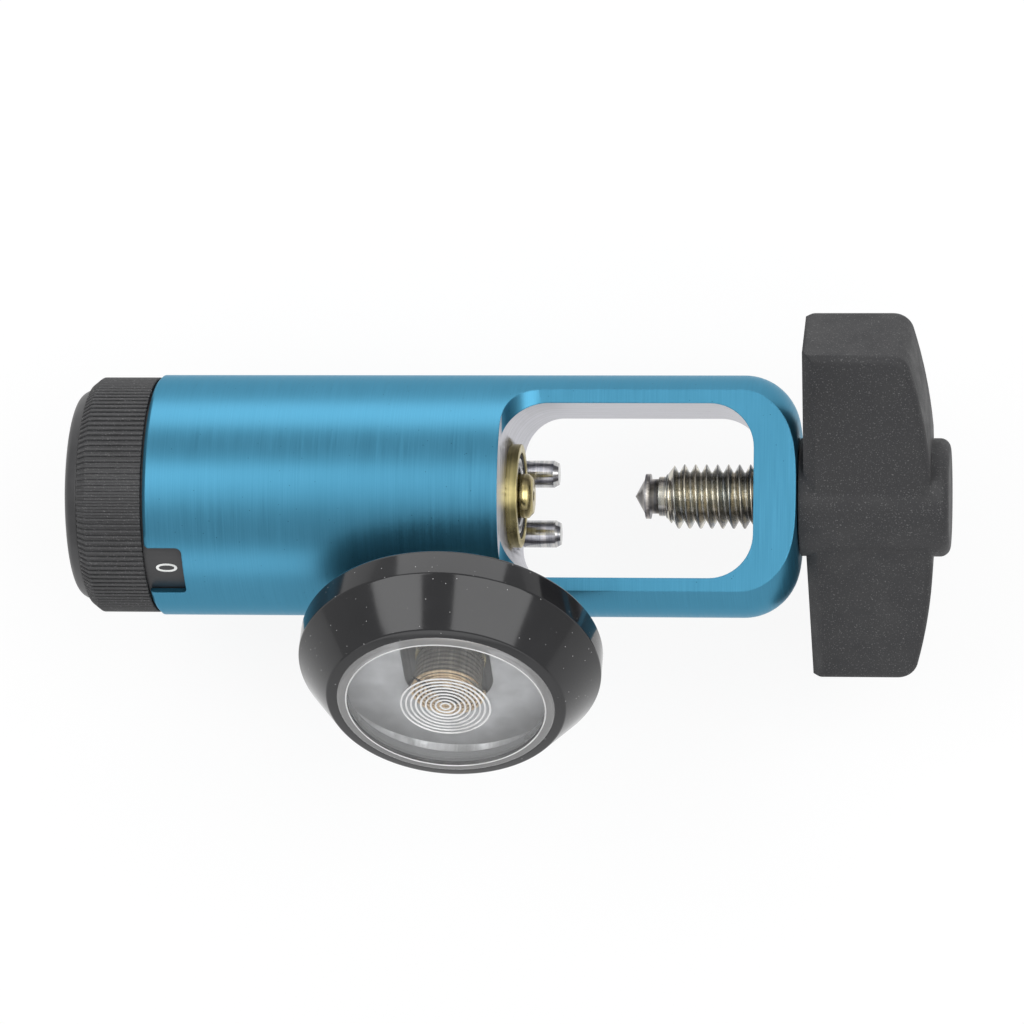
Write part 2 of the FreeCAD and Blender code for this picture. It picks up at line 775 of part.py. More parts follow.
def make_knob():
    """Makes the ribbed knob, its domed cap and the printed sleeve that shows in the notch."""
    body = new_body("knob_ring")
    face = "-bar_back - knob_gap"
    bevel_start = face + " - knob_grip"
    back = bevel_start + " - knob_bevel_along"
    web_front = face + " - sleeve_seat"
    web_back = web_front + " - knob_web"
    hub_back = "-spindle_shoulder - spindle_tail"
    sleeve_radius = "bar_radius - skirt_wall - sleeve_gap"
    turned(body, "knob_turned", [
        (face, sleeve_radius + " + fit"),
        (web_front, sleeve_radius + " + fit"),
        (web_front, "knob_hub"),
        ("-spindle_shoulder", "knob_hub"),
        ("-spindle_shoulder", "spindle_end_radius + fit"),
        (hub_back, "spindle_end_radius + fit"),
        (hub_back, "knob_hub"),
        (web_back, "knob_hub"),
        (web_back, "knob_radius - knob_wall"),
        (back, "knob_radius - knob_wall"),
        (back, "knob_radius - knob_bevel_across"),
        (bevel_start, "knob_radius"),
        (face, "knob_radius"),
    ])
    groove = new_sketch(body, "rib_groove_outline", plane="YZ_Plane", out=back)
    draw(groove, [
        ("0", "knob_radius - rib_depth"),
        ("rib_width / 2", "knob_radius + rib_depth / 2"),
        ("-rib_width / 2", "knob_radius + rib_depth / 2"),
    ])
    first = pocket(body, "rib_groove", groove, "knob_grip + knob_bevel_along", side="One side", reverse=True)
    ring_pattern(body, "rib_grooves", first, "rib_count")

    cap = new_body("knob_cap")
    crown = back + " - cap_crown"
    shoulder = back + " - cap_shoulder_rise"
    crown_rise = "(cap_crown - cap_shoulder_rise)"
    crown_bow = "(cap_shoulder_radius ^ 2 + %s ^ 2) / 2 / %s" % (crown_rise, crown_rise)
    skirt_radius = "knob_radius - knob_wall - fit"
    turned(cap, "cap_moulded", [
        (back, "knob_radius - knob_bevel_across", "left", "shoulder_bow"),
        (shoulder, "cap_shoulder_radius", "left", crown_bow),
        (crown, "0"),
        (shoulder + " + cap_wall", "0"),
        (shoulder + " + cap_wall", "cap_shoulder_radius - cap_wall / 3", "right", "shoulder_bow - cap_wall"),
        (back + " - cap_wall / 2", skirt_radius + " - cap_wall"),
        (back + " + cap_skirt", skirt_radius + " - cap_wall"),
        (back + " + cap_skirt", skirt_radius),
        (back, skirt_radius),
    ])
    nub = new_sketch(cap, "nub_outline", plane="YZ_Plane", out=crown + " + cap_wall / 2")
    draw_circle(nub, "-nub_offset", "0", "nub_radius")
    pad(cap, "nub", nub, "cap_wall / 2 + nub_height", reverse=True)

    washer("number_sleeve", sleeve_radius, sleeve_radius + " - sleeve_wall",
           web_front, "-sleeve_floor - sleeve_end_gap")
    screw = new_body("knob_screw")
    turned(screw, "knob_screw_turned", [
        (hub_back + " - knob_screw_head_height", "0"),
        (hub_back + " + knob_screw_length", "0"),
        (hub_back + " + knob_screw_length", "knob_screw_radius"),
        (hub_back, "knob_screw_radius"),
        (hub_back, "knob_screw_head"),
        (hub_back + " - knob_screw_head_height", "knob_screw_head"),
    ])
    slot = new_sketch(screw, "slot_outline", plane="YZ_Plane", out=hub_back + " - knob_screw_head_height")
    draw(slot, [
        ("-knob_screw_head", "-knob_screw_radius / 5"),
        ("knob_screw_head", "-knob_screw_radius / 5"),
        ("knob_screw_head", "knob_screw_radius / 5"),
        ("-knob_screw_head", "knob_screw_radius / 5"),
    ])
    pocket(screw, "slot", slot, "knob_screw_head_height / 2", side="One side", reverse=True)


def make_selector():
    """Makes the spindle, the disc with the metering orifices and the fixed plate it turns on."""
    disc_back = "face_gap - plate_seat"
    disc_front = disc_back + " + disc_thickness"
    hub_back = "-spindle_shoulder - spindle_tail"
    groove_half = "(oring_wire + groove_play)"
    groove_bottom = "spindle_radius - 2 * oring_wire - fit"
    turned(new_body("selector_spindle"), "spindle_turned", [
        (hub_back, "knob_screw_radius + fit"),
        (hub_back, "spindle_end_radius"),
        ("-spindle_shoulder", "spindle_end_radius"),
        ("-spindle_shoulder", "spindle_radius"),
        ("-oring_station - " + groove_half, "spindle_radius"),
        ("-oring_station - " + groove_half, groove_bottom),
        ("-oring_station + " + groove_half, groove_bottom),
        ("-oring_station + " + groove_half, "spindle_radius"),
        (disc_back, "spindle_radius"),
        (disc_back, "spindle_end_radius"),
        (disc_front, "spindle_end_radius"),
        (disc_front, "0"),
        (hub_back + " + knob_screw_length + face_gap", "0"),
        (hub_back + " + knob_screw_length + face_gap", "knob_screw_radius + fit"),
    ])
    ring("spindle_oring", "oring_station", "spindle_radius - oring_wire", "oring_wire")

    disc = new_body("orifice_disc")
    turned(disc, "disc_turned", [
        (disc_back, "spindle_end_radius + fit"),
        (disc_front, "spindle_end_radius + fit"),
        (disc_front, "disc_radius"),
        (disc_back, "disc_radius"),
    ])
    holes = new_sketch(disc, "orifice_outlines", plane="YZ_Plane", out=disc_front)
    for step in range(1, int(value("orifice_count"))):
        angle = "(-90 - %d * 360 / orifice_count)" % step
        size = "orifice_step * %d" % (step + 1)
        draw_circle(holes, "orifice_circle * cos%s" % angle, "orifice_circle * sin%s" % angle, size)
    pocket(disc, "orifices", holes, "disc_thickness", side="One side")
    dimple = new_sketch(disc, "dimple_section", out="detent_circle", turn="90")
    draw(dimple, [
        (disc_back, "0"),
        (disc_back + " + dimple_depth", "0"),
        (disc_back, "dimple_radius"),
    ])
    first = cut_checked(disc, lambda: revolve(disc, "dimple", dimple, "H_Axis", "Groove"))
    ring_pattern(disc, "dimples", first, "orifice_count")

    plate = new_body("flow_plate")
    turned(plate, "plate_turned", [
        ("-plate_seat - plate_thickness", "spindle_radius + running"),
        ("-plate_seat", "spindle_radius + running"),
        ("-plate_seat", "plate_radius - fit"),
        ("-plate_seat - plate_thickness", "plate_radius - fit"),
    ])
    bored(plate, "outlet_port", [
        ("0", "orifice_circle - plate_port"),
        ("plate_port", "orifice_circle - plate_port"),
        ("plate_port", "plate_radius"),
        ("0", "plate_radius"),
    ], "V_Axis", "-barb_station", "barb_turn")
    passage = new_sketch(plate, "passage_outline", plane="YZ_Plane", out="-plate_seat")
    draw_circle(passage, "0", "-orifice_circle", "plate_passage")
    pocket(plate, "passage", passage, "barb_station - plate_seat", side="One side")
    hole = new_sketch(plate, "ball_pocket_outline", plane="YZ_Plane", out="-plate_seat")
    draw_circle(hole, "0", "detent_circle", "ball_radius + running")
    pocket(plate, "ball_pocket", hole, "ball_pocket_depth", side="One side")

    detent = ball("detent_ball", "ball_radius")
    detent.setExpression("Placement.Base.x", bound("-plate_seat - ball_sink - ball_radius"))
    detent.setExpression("Placement.Base.z", bound("detent_circle"))
    coil = spring("detent_spring", "-plate_seat - ball_pocket_depth", "-plate_seat - ball_sink - 2 * ball_radius",
                  "ball_radius * 0.7", "ball_radius / 6", "4")
    coil.setExpression("Placement.Base.z", bound("detent_circle"))

    clip = new_body("retaining_ring")
    clip_front = "-plate_seat - plate_thickness - face_gap / 2"
    turned(clip, "clip_stamped", [
        (clip_front + " - clip_thickness", "clip_inner"),
        (clip_front, "clip_inner"),
        (clip_front, "clip_groove - face_gap"),
        (clip_front + " - clip_thickness", "clip_groove - face_gap"),
    ])
    opening = new_sketch(clip, "opening_outline", plane="YZ_Plane", out=clip_front)
    draw(opening, [
        ("-clip_opening / 2", "spindle_radius"),
        ("clip_opening / 2", "spindle_radius"),
        ("clip_opening / 2", "clip_groove"),
        ("-clip_opening / 2", "clip_groove"),
    ])
    pocket(clip, "opening", opening, "clip_thickness", side="One side")


def make_piston():
    """Makes the pressure-reducing piston with its seat, O-rings and spring."""
    back = "-plate_seat + disc_thickness + face_gap + piston_back_gap"
    head_front = back + " + piston_head"
    stem_end = "-nozzle_face - seat_lift"
    head_bottom = "piston_radius - 2 * head_oring_wire - fit"
    stem_bottom = "piston_stem - 2 * stem_oring_wire - fit"
    head_half = "(head_oring_wire + groove_play)"
    stem_half = "(stem_oring_wire + groove_play)"
    body = new_body("piston")
    turned(body, "piston_turned", [
        (back, "0"),
        (stem_end, "0"),
        (stem_end, "seat_neck"),
        (stem_end + " - seat_neck_length", "seat_neck"),
        (stem_end + " - seat_neck_length", "piston_stem"),
        ("-stem_oring_station + " + stem_half, "piston_stem"),
        ("-stem_oring_station + " + stem_half, stem_bottom),
        ("-stem_oring_station - " + stem_half, stem_bottom),
        ("-stem_oring_station - " + stem_half, "piston_stem"),
        (head_front, "piston_stem"),
        (head_front, "piston_radius"),
        ("-head_oring_station + " + head_half, "piston_radius"),
        ("-head_oring_station + " + head_half, head_bottom),
        ("-head_oring_station - " + head_half, head_bottom),
        ("-head_oring_station - " + head_half, "piston_radius"),
        (back, "piston_radius"),
    ][::-1])
    bored(body, "seat_pocket", [
        (stem_end, "0"),
        (stem_end, "seat_radius"),
        (stem_end + " - seat_thickness", "seat_radius"),
        (stem_end + " - seat_thickness", "0"),
    ])
    bored(body, "passage_hole", [
        (back, "0"),
        (back, "piston_passage"),
        ("-cross_station + cross_hole", "piston_passage"),
        ("-cross_station + cross_hole", "0"),
    ])
    bored(body, "cross_hole_bore", [
        ("0", "0"),
        ("cross_hole", "0"),
        ("cross_hole", "piston_stem"),
        ("0", "piston_stem"),
    ], "V_Axis", "-cross_station", "0")
    washer_back = stem_end + " - seat_thickness"
    turned(new_body("piston_seat"), "seat_moulded", [
        (washer_back, "0"),
        (stem_end, "0"),
        (stem_end, "seat_radius - fit"),
        (washer_back, "seat_radius - fit"),
    ])
    ring("piston_head_oring", "head_oring_station", "piston_radius - head_oring_wire", "head_oring_wire")
    ring("piston_stem_oring", "stem_oring_station", "piston_stem - stem_oring_wire", "stem_oring_wire")
    spring("piston_spring", head_front + " + main_spring_end_gap", "-chamber_end - main_spring_end_gap",
           "main_spring_radius", "main_spring_wire", "main_spring_turns")


def make_outlet():
    """Makes the hose barb and the relief valve on the underside of the bar."""
    barb = new_body("outlet_barb")
    hex_start = "barb_face + barb_collar_height"
    hex_end = hex_start + " + barb_hex_height"
    section = [
        ("barb_bore", "plate_radius"),
        ("barb_thread - fit", "plate_radius"),
        ("barb_thread - fit", "barb_face"),
        ("barb_collar", "barb_face"),
        ("barb_collar", hex_start),
        ("barb_flats / 2", hex_start),
        ("barb_flats / 2", hex_end),
        ("barb_root", hex_end),
    ]
    for step in range(int(value("barb_count"))):
        section.append(("barb_root", "%s + %g * barb_pitch" % (hex_end, step + 0.25)))
        section.append(("barb_tip", "%s + %g * barb_pitch" % (hex_end, step + 0.3)))
        section.append(("barb_root", "%s + %d * barb_pitch" % (hex_end, step + 1)))
    section.append(("barb_bore", "%s + barb_count * barb_pitch" % hex_end))
    turned(barb, "barb_turned", section, "V_Axis")
    flats = new_sketch(barb, "barb_hexagon", plane="XZ_Plane", out="0")
    draw(flats, hexagon("barb_flats"))
    flats.setExpression("AttachmentOffset.Base.z", bound("-(%s)" % hex_start))
    pad(barb, "barb_hex", flats, "barb_hex_height", reverse=True)
    bored(barb, "barb_bore_hole", [
        ("0", hex_start),
        ("barb_bore", hex_start),
        ("barb_bore", hex_end),
        ("0", hex_end),
    ], "V_Axis")
    place(barb, "-barb_station", "barb_turn")

    cap = new_body("relief_cap")
    inside = "relief_face + relief_head_height - relief_roof"
    turned(cap, "relief_cap_turned", [
        ("relief_inner", "relief_seat + relief_ball_radius"),
        ("relief_bore - fit", "relief_seat + relief_ball_radius"),
        ("relief_bore - fit", "relief_face"),
        ("relief_head", "relief_face"),
        ("relief_head", "relief_face + relief_head_height"),
        ("relief_vent", "relief_face + relief_head_height"),
        ("relief_vent", inside),
        ("relief_inner", inside),
    ], "V_Axis")
    place(cap, "-relief_station", "relief_turn")
    seat_rise = "sqrt(relief_ball_radius ^ 2 - relief_port ^ 2) + running"
    ball_at = "relief_seat + %s" % seat_rise
    valve = ball("relief_ball", "relief_ball_radius")
    valve.setExpression("Placement.Base.x", bound("-relief_station"))
    valve.setExpression("Placement.Base.y", bound("(%s) * cos(relief_turn)" % ball_at))
    valve.setExpression("Placement.Base.z", bound("(%s) * sin(relief_turn)" % ball_at))
    contact = "sqrt(relief_ball_radius ^ 2 - (relief_spring_radius - relief_wire) ^ 2)"
    coil = spring("relief_spring", "%s + %s + running" % (ball_at, contact), inside,
                  "relief_spring_radius", "relief_wire", "relief_turns", "V_Axis")
    place(coil, "-relief_station", "relief_turn")


def make_gauge():
    """Makes the contents gauge, from its socket in the bar out to its lens and rubber boot."""
    socket = new_body("gauge_socket")
    block_start = "case_back + case_wall"
    block_end = block_start + " + socket_block_rise"
    turned(socket, "socket_turned", [
        ("socket_bore", "gauge_thread_floor + face_gap"),
        ("gauge_thread - fit", "gauge_thread_floor + face_gap"),
        ("gauge_thread - fit", "socket_hex_start"),
        ("socket_flats / 2", "socket_hex_start"),
        ("socket_flats / 2", "case_back - fit"),
        ("socket_neck", "case_back - fit"),
        ("socket_neck", block_start + " + fit"),
        ("socket_block", block_start + " + fit"),
        ("socket_block", block_end),
        ("socket_bore", block_end),
    ], "V_Axis")
    flats = new_sketch(socket, "socket_hexagon", plane="XZ_Plane")
    draw(flats, hexagon("socket_flats"))
    flats.setExpression("AttachmentOffset.Base.z", bound("-socket_hex_start"))
    pad(socket, "socket_hex", flats, "case_back - fit - socket_hex_start", reverse=True)
    bored(socket, "socket_bore_hole", [
        ("0", "socket_hex_start"),
        ("socket_bore", "socket_hex_start"),
        ("socket_bore", "case_back"),
        ("0", "case_back"),
    ], "V_Axis")

    case = new_body("gauge_case")
    turned(case, "case_drawn", [
        ("socket_neck + fit", "case_back"),
        ("case_radius", "case_back"),
        ("case_radius", "case_front"),
        ("case_radius - case_wall", "case_front"),
        ("case_radius - case_wall", "case_back + case_wall"),
        ("socket_neck + fit", "case_back + case_wall"),
    ], "V_Axis")

    boot = new_body("gauge_boot")
    turned(boot, "boot_moulded", [
        ("boot_back_hole", "boot_back"),
        ("case_radius + boot_back_wall", "boot_back"),
        ("case_radius + boot_wall", "band_start"),
        ("case_radius + boot_wall", "band_end"),
        ("case_radius + cone_end_wall", "cone_end", "left", "lip_round"),
        ("case_radius - lip_overlap", "lip_front"),
        ("case_radius - lip_overlap", "case_front + face_gap"),
        ("case_radius + fit", "case_front + face_gap"),
        ("case_radius + fit", "case_back - face_gap"),
        ("boot_back_hole", "case_back - face_gap"),
    ], "V_Axis")

    lens = new_body("gauge_lens")
    case_bore = "case_radius - case_wall - face_gap"
    lens_radius = case_bore + " - lens_step"
    flange_back = "case_front - face_gap - lens_flange_height"
    turned(lens, "lens_moulded", [
        ("0", "lens_front - lens_top"),
        (lens_radius + " - lens_wall", "lens_front - lens_top"),
        (lens_radius + " - lens_wall", flange_back),
        (case_bore, flange_back),
        (case_bore, flange_back + " + lens_flange_height"),
        (lens_radius, flange_back + " + lens_flange_height"),
        (lens_radius, "lens_front - lens_edge", "left", "lens_edge"),
        (lens_radius + " - lens_edge", "lens_front"),
        ("0", "lens_front"),
    ], "V_Axis")

    dial = new_body("gauge_dial")
    turned(dial, "dial_stamped", [
        ("0", "dial_station"),
        (case_bore, "dial_station"),
        (case_bore, "dial_station + dial_thickness"),
        ("0", "dial_station + dial_thickness"),
    ], "V_Axis")
    opening = new_sketch(dial, "dial_opening_outline", plane="XZ_Plane")
    draw(opening, [
        ("dial_opening", "0", "left", "dial_opening"),
        ("-dial_opening", "0"),
        ("-dial_opening", "-dial_opening * 2"),
        ("dial_opening", "-dial_opening * 2"),
    ])
    opening.setExpression("AttachmentOffset.Base.z", bound("-dial_station"))
    pocket(dial, "dial_opening_cut", opening, "dial_thickness", side="One side")

    coil = spring("bourdon_coil", block_end + " + fit", "coil_front", "coil_radius", "coil_thick",
                  "coil_turns", "V_Axis")

    pointer = new_body("gauge_pointer")
    turned(pointer, "pointer_hub_turned", [
        ("0", "pointer_station - pointer_arbor_length"),
        ("pointer_arbor", "pointer_station - pointer_arbor_length"),
        ("pointer_arbor", "pointer_station"),
        ("pointer_hub", "pointer_station"),
        ("pointer_hub", "pointer_station + 2 * pointer_thickness"),
        ("0", "pointer_station + 2 * pointer_thickness"),
    ], "V_Axis")
    needle = new_sketch(pointer, "needle_outline", plane="XZ_Plane")
    draw(needle, [
        ("pointer_length * cos(pointer_turn)", "pointer_length * sin(pointer_turn)"),
        ("pointer_hub / 2 * cos(pointer_turn + 90)", "pointer_hub / 2 * sin(pointer_turn + 90)"),
        ("pointer_tail * cos(pointer_turn + 165)", "pointer_tail * sin(pointer_turn + 165)"),
        ("pointer_tail * cos(pointer_turn + 195)", "pointer_tail * sin(pointer_turn + 195)"),
        ("pointer_hub / 2 * cos(pointer_turn - 90)", "pointer_hub / 2 * sin(pointer_turn - 90)"),
    ])
    needle.setExpression("AttachmentOffset.Base.z", bound("-pointer_station"))
    pad(pointer, "needle", needle, "pointer_thickness", reverse=True)
    for piece in (socket, case, boot, lens, dial, coil, pointer):
        place(piece, "-gauge_station", "gauge_turn")


def check_document():
    """Refuses a document in which any object failed or any piece has no valid shape."""
    doc.recompute()
    for item in doc.Objects:
        if "Invalid" in item.State or "Error" in item.State:
            raise RuntimeError("failed: " + item.Label)
    for piece in pieces:
        if piece.Shape.isNull() or not piece.Shape.isValid():
            raise RuntimeError("no valid shape: " + piece.Label)


def write_parts():
    os.makedirs("parts", exist_ok=True)
    for piece in pieces:
        piece.Shape.exportStep(os.path.join("parts", piece.Label + ".step"))
        print("%-20s %9.1f mm3" % (piece.Label, piece.Shape.Volume))


def main():
    body = turn_bar()
    bore_chambers(body)
    mill_yoke(body)
    drill_body(body)
    make_index_pins()
    make_inlet()
    make_clamp_screw()
    make_handle()
    make_knob()
    make_selector()
    make_piston()
    make_outlet()
    make_gauge()
    check_document()
    write_parts()


main()
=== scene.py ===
import json
import math

import bmesh
import bpy
from bpy.props import FloatProperty, FloatVectorProperty, IntProperty, PointerProperty
from mathutils import Matrix, Vector


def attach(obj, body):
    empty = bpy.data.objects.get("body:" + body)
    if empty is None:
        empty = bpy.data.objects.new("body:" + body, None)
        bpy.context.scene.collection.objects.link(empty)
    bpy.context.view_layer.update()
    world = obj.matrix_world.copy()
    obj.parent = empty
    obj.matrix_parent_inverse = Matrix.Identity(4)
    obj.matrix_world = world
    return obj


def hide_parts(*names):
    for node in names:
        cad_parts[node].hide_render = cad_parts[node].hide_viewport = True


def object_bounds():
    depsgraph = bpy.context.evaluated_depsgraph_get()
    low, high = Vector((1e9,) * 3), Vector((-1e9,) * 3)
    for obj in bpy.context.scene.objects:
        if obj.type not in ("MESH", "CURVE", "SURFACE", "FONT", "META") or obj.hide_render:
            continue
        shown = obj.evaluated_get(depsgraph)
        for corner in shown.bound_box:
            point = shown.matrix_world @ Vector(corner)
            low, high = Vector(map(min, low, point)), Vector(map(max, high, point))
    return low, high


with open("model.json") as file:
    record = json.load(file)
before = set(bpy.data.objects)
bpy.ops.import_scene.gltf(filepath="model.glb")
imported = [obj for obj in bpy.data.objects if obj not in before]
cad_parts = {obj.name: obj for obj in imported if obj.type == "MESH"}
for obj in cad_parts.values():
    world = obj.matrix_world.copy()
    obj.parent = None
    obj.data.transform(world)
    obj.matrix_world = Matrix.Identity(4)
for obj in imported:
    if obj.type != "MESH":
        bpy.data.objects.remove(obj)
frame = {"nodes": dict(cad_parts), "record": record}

bl_info = {
    "name": "Oxygen regulator dressing",
    "version": (1, 0, 0),
    "blender": (4, 5, 0),
    "location": "View3D > Sidebar > Regulator",
    "description": "Dresses the packed oxygen regulator with its finished pieces, lights and camera",
    "category": "Object",
}

CAD_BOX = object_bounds()
MM = 0.001
X_AXIS = Vector((1, 0, 0))
Z_AXIS = Vector((0, 0, 1))

# Points that lie closer than these are joined, and faces smaller than a sliver, in square metres, go.
JOIN = 0.0005 * MM
NODE_JOIN = 0.0002 * MM
SLIVER = 1e-14

# The gauge stands on its own axis, which leans out of the bar.
GAUGE_FOOT = Vector((-7.94 * MM, 0, 0))
GAUGE_OUT = Vector((0, -0.828842, 0.559482))


# Sizes and colours that a user would change.

class BodySizes(bpy.types.PropertyGroup):
    colour: FloatVectorProperty(name="Anodised colour", description="Colour of the dyed skin", size=3,
                                subtype="COLOR", default=(0.052, 0.225, 0.35))
    radius: FloatProperty(name="Bar radius", description="Radius of the turned bar", unit="LENGTH",
                          default=17.4625 * MM)
    nose_round: FloatProperty(name="Nose round", description="Radius of the bar's rounded nose",
                              unit="LENGTH", default=8 * MM)
    nose_end: FloatProperty(name="Nose end", description="Station of the bar's front face",
                            unit="LENGTH", default=40.3 * MM)
    window_back: FloatProperty(name="Window back", description="Station of the window's back wall",
                               unit="LENGTH", default=-1.6 * MM)
    window_front: FloatProperty(name="Window front", description="Station of the window's front wall",
                                unit="LENGTH", default=34.25 * MM)
    window_half: FloatProperty(name="Window half width", description="Half the window's width",
                               unit="LENGTH", default=12.5 * MM)
    pin_circle: FloatProperty(name="Pin circle", description="Distance of the index pins from the axis",
                              unit="LENGTH", default=14.29 * MM)
    pin_angle: FloatProperty(name="Pin angle", description="Turn of each index pin from straight below",
                             unit="ROTATION", default=math.radians(18))


class ThreadSizes(bpy.types.PropertyGroup):
    pitch: FloatProperty(name="Pitch", description="Advance of the thread in one turn", unit="LENGTH",
                         default=1.5875 * MM)
    crest: FloatProperty(name="Crest radius", description="Radius over the thread's crests",
                         unit="LENGTH", default=4.65 * MM)
    root: FloatProperty(name="Root radius", description="Radius at the thread's root", unit="LENGTH",
                        default=3.5 * MM)
    start: FloatProperty(name="Thread start", description="Station where the thread begins",
                         unit="LENGTH", default=21.2 * MM)
    length: FloatProperty(name="Thread length", description="Length of the threaded rod",
                          unit="LENGTH", default=36.25 * MM)
    neck: FloatProperty(name="Neck radius", description="Radius where the thread begins",
                        unit="LENGTH", default=3.2 * MM)
    lead: FloatProperty(name="Lead", description="Length over which the thread grows to full height",
                        unit="LENGTH", default=1.1 * MM)
    rings: IntProperty(name="Rows along", description="Rows of points along the thread", default=560)
    sides: IntProperty(name="Rows round", description="Points round the thread", default=72)


class KnobSizes(bpy.types.PropertyGroup):
    rib_count: IntProperty(name="Ribs", description="Number of grip ribs round the knob", default=124)
    rib_width: FloatProperty(name="Rib width", description="Width of one rib", unit="LENGTH",
                             default=0.5 * MM)
    height: FloatProperty(name="Rib height", description="Height of a rib over the ring",
                          unit="LENGTH", default=0.35 * MM)
    hub: FloatProperty(name="Hub radius", description="Radius of the ring's hub", unit="LENGTH",
                       default=5.5 * MM)
    skirt_bore: FloatProperty(name="Skirt bore", description="Radius of the bore that slips over the bar",
                              unit="LENGTH", default=16.5 * MM)
    cap_bore: FloatProperty(name="Cap bore", description="Radius of the bore that takes the cap",
                            unit="LENGTH", default=14.5 * MM)
    web_back: FloatProperty(name="Web back", description="Station of the web's far face", unit="LENGTH",
                            default=-57.05 * MM)
    web_front: FloatProperty(name="Web front", description="Station of the web's near face",
                             unit="LENGTH", default=-55.25 * MM)
    radius: FloatProperty(name="Knob radius", description="Radius over the ribs", unit="LENGTH",
                          default=17.1 * MM)
    back: FloatProperty(name="Ring back", description="Station of the ring's far end", unit="LENGTH",
                        default=-62.5 * MM)
    front: FloatProperty(name="Ring front", description="Station of the ring's near end",
                         unit="LENGTH", default=-53.05 * MM)
    bevel: FloatProperty(name="Bevel", description="Length of the bevels at the ring's ends",
                         unit="LENGTH", default=1.3 * MM)


class GaugeSizes(bpy.types.PropertyGroup):
    ring_count: IntProperty(name="Lens rings", description="Moulded rings in the lens", default=9)
    ring_first: FloatProperty(name="First ring", description="Radius of the smallest ring",
                              unit="LENGTH", default=0.7 * MM)
    ring_step: FloatProperty(name="Ring step", description="Growth from ring to ring", unit="LENGTH",
                             default=0.7 * MM)
    ring_wire: FloatProperty(name="Ring height", description="Half the thickness of a ring",
                             unit="LENGTH", default=0.16 * MM)
    coil_turns: FloatProperty(name="Coil turns", description="Turns of the pressure coil", default=7)
    coil_radius: FloatProperty(name="Coil radius", description="Radius of the pressure coil",
                               unit="LENGTH", default=4.6 * MM)
    face_radius: FloatProperty(name="Coil face radius", description="Radius of the coil's flat face",
                               unit="LENGTH", default=5.3 * MM)
    coil_wire: FloatProperty(name="Coil wire", description="Half the thickness of the coil's tube",
                             unit="LENGTH", default=0.36 * MM)
    coil_foot: FloatProperty(name="Coil foot", description="Station where the coil begins",
                             unit="LENGTH", default=28.8 * MM)
    coil_height: FloatProperty(name="Coil height", description="Height of the coil", unit="LENGTH",
                               default=5.95 * MM)
    face_station: FloatProperty(name="Coil face station", description="Station of the coil's flat face",
                                unit="LENGTH", default=34.7 * MM)
    face_inner: FloatProperty(name="Coil face heart", description="Radius where the flat face ends",
                              unit="LENGTH", default=0.9 * MM)
    ring_station: FloatProperty(name="Ring station", description="Station of the lens's moulded rings",
                                unit="LENGTH", default=38.05 * MM)


class StageSizes(bpy.types.PropertyGroup):
    floor_colour: FloatVectorProperty(name="Floor", description="Colour of the floor", size=3,
                                      subtype="COLOR", default=(0.8, 0.8, 0.8))
    key: FloatProperty(name="Key light", description="Power of the long light above the picture",
                       subtype="POWER", default=2.3)
    fill: FloatProperty(name="Fill light", description="Power of the long light below the picture",
                        subtype="POWER", default=1.0)
    left_box: FloatProperty(name="Left soft box", description="Power of the soft box on the left",
                            subtype="POWER", default=1.9)
    right_box: FloatProperty(name="Right soft box", description="Power of the soft box on the right",
                             subtype="POWER", default=3.1)
    studio: FloatProperty(name="Studio light", description="Strength of the even light from all sides",
                          default=0.66)
    whiteness: FloatProperty(name="Whiteness", description="Share of pure white in the floor as seen",
                             subtype="FACTOR", default=0.85)
    lens: FloatProperty(name="Camera lens", description="Focal length in millimetres", default=194.25)


class RegulatorSizes(bpy.types.PropertyGroup):
    body: PointerProperty(type=BodySizes, name="Body", description="Sizes of the body")
    thread: PointerProperty(type=ThreadSizes, name="Thread", description="Sizes of the thread")
    knob: PointerProperty(type=KnobSizes, name="Knob", description="Sizes of the knob")
    gauge: PointerProperty(type=GaugeSizes, name="Gauge", description="Sizes of the gauge")
    stage: PointerProperty(type=StageSizes, name="Stage", description="Lights, floor and camera")


def sizes():
    return bpy.context.scene.regulator_sizes


# Finishes.

class Tree:
    """A node tree, with short calls for its nodes and their links."""

    def __init__(self, tree):
        self.tree = tree

    def feed(self, socket, value):
        """Links an output to a socket, or sets the socket's plain value."""
        if isinstance(value, bpy.types.NodeSocket):
            self.tree.links.new(value, socket)
        else:
            socket.default_value = value

    def node(self, kind, inputs=None, **settings):
        made = self.tree.nodes.new(kind)
        for key, value in settings.items():
            setattr(made, key, value)
        for key, value in (inputs or {}).items():
            self.feed(made.inputs[key], value)
        return made

    def math(self, operation, first, second=0.0):
        return self.node("ShaderNodeMath", {0: first, 1: second}, operation=operation).outputs[0]

    def add(self, first, second):
        return self.math("ADD", first, second)

    def subtract(self, first, second):
        return self.math("SUBTRACT", first, second)

    def multiply(self, first, second):
        return self.math("MULTIPLY", first, second)

    def divide(self, first, second):
        return self.math("DIVIDE", first, second)


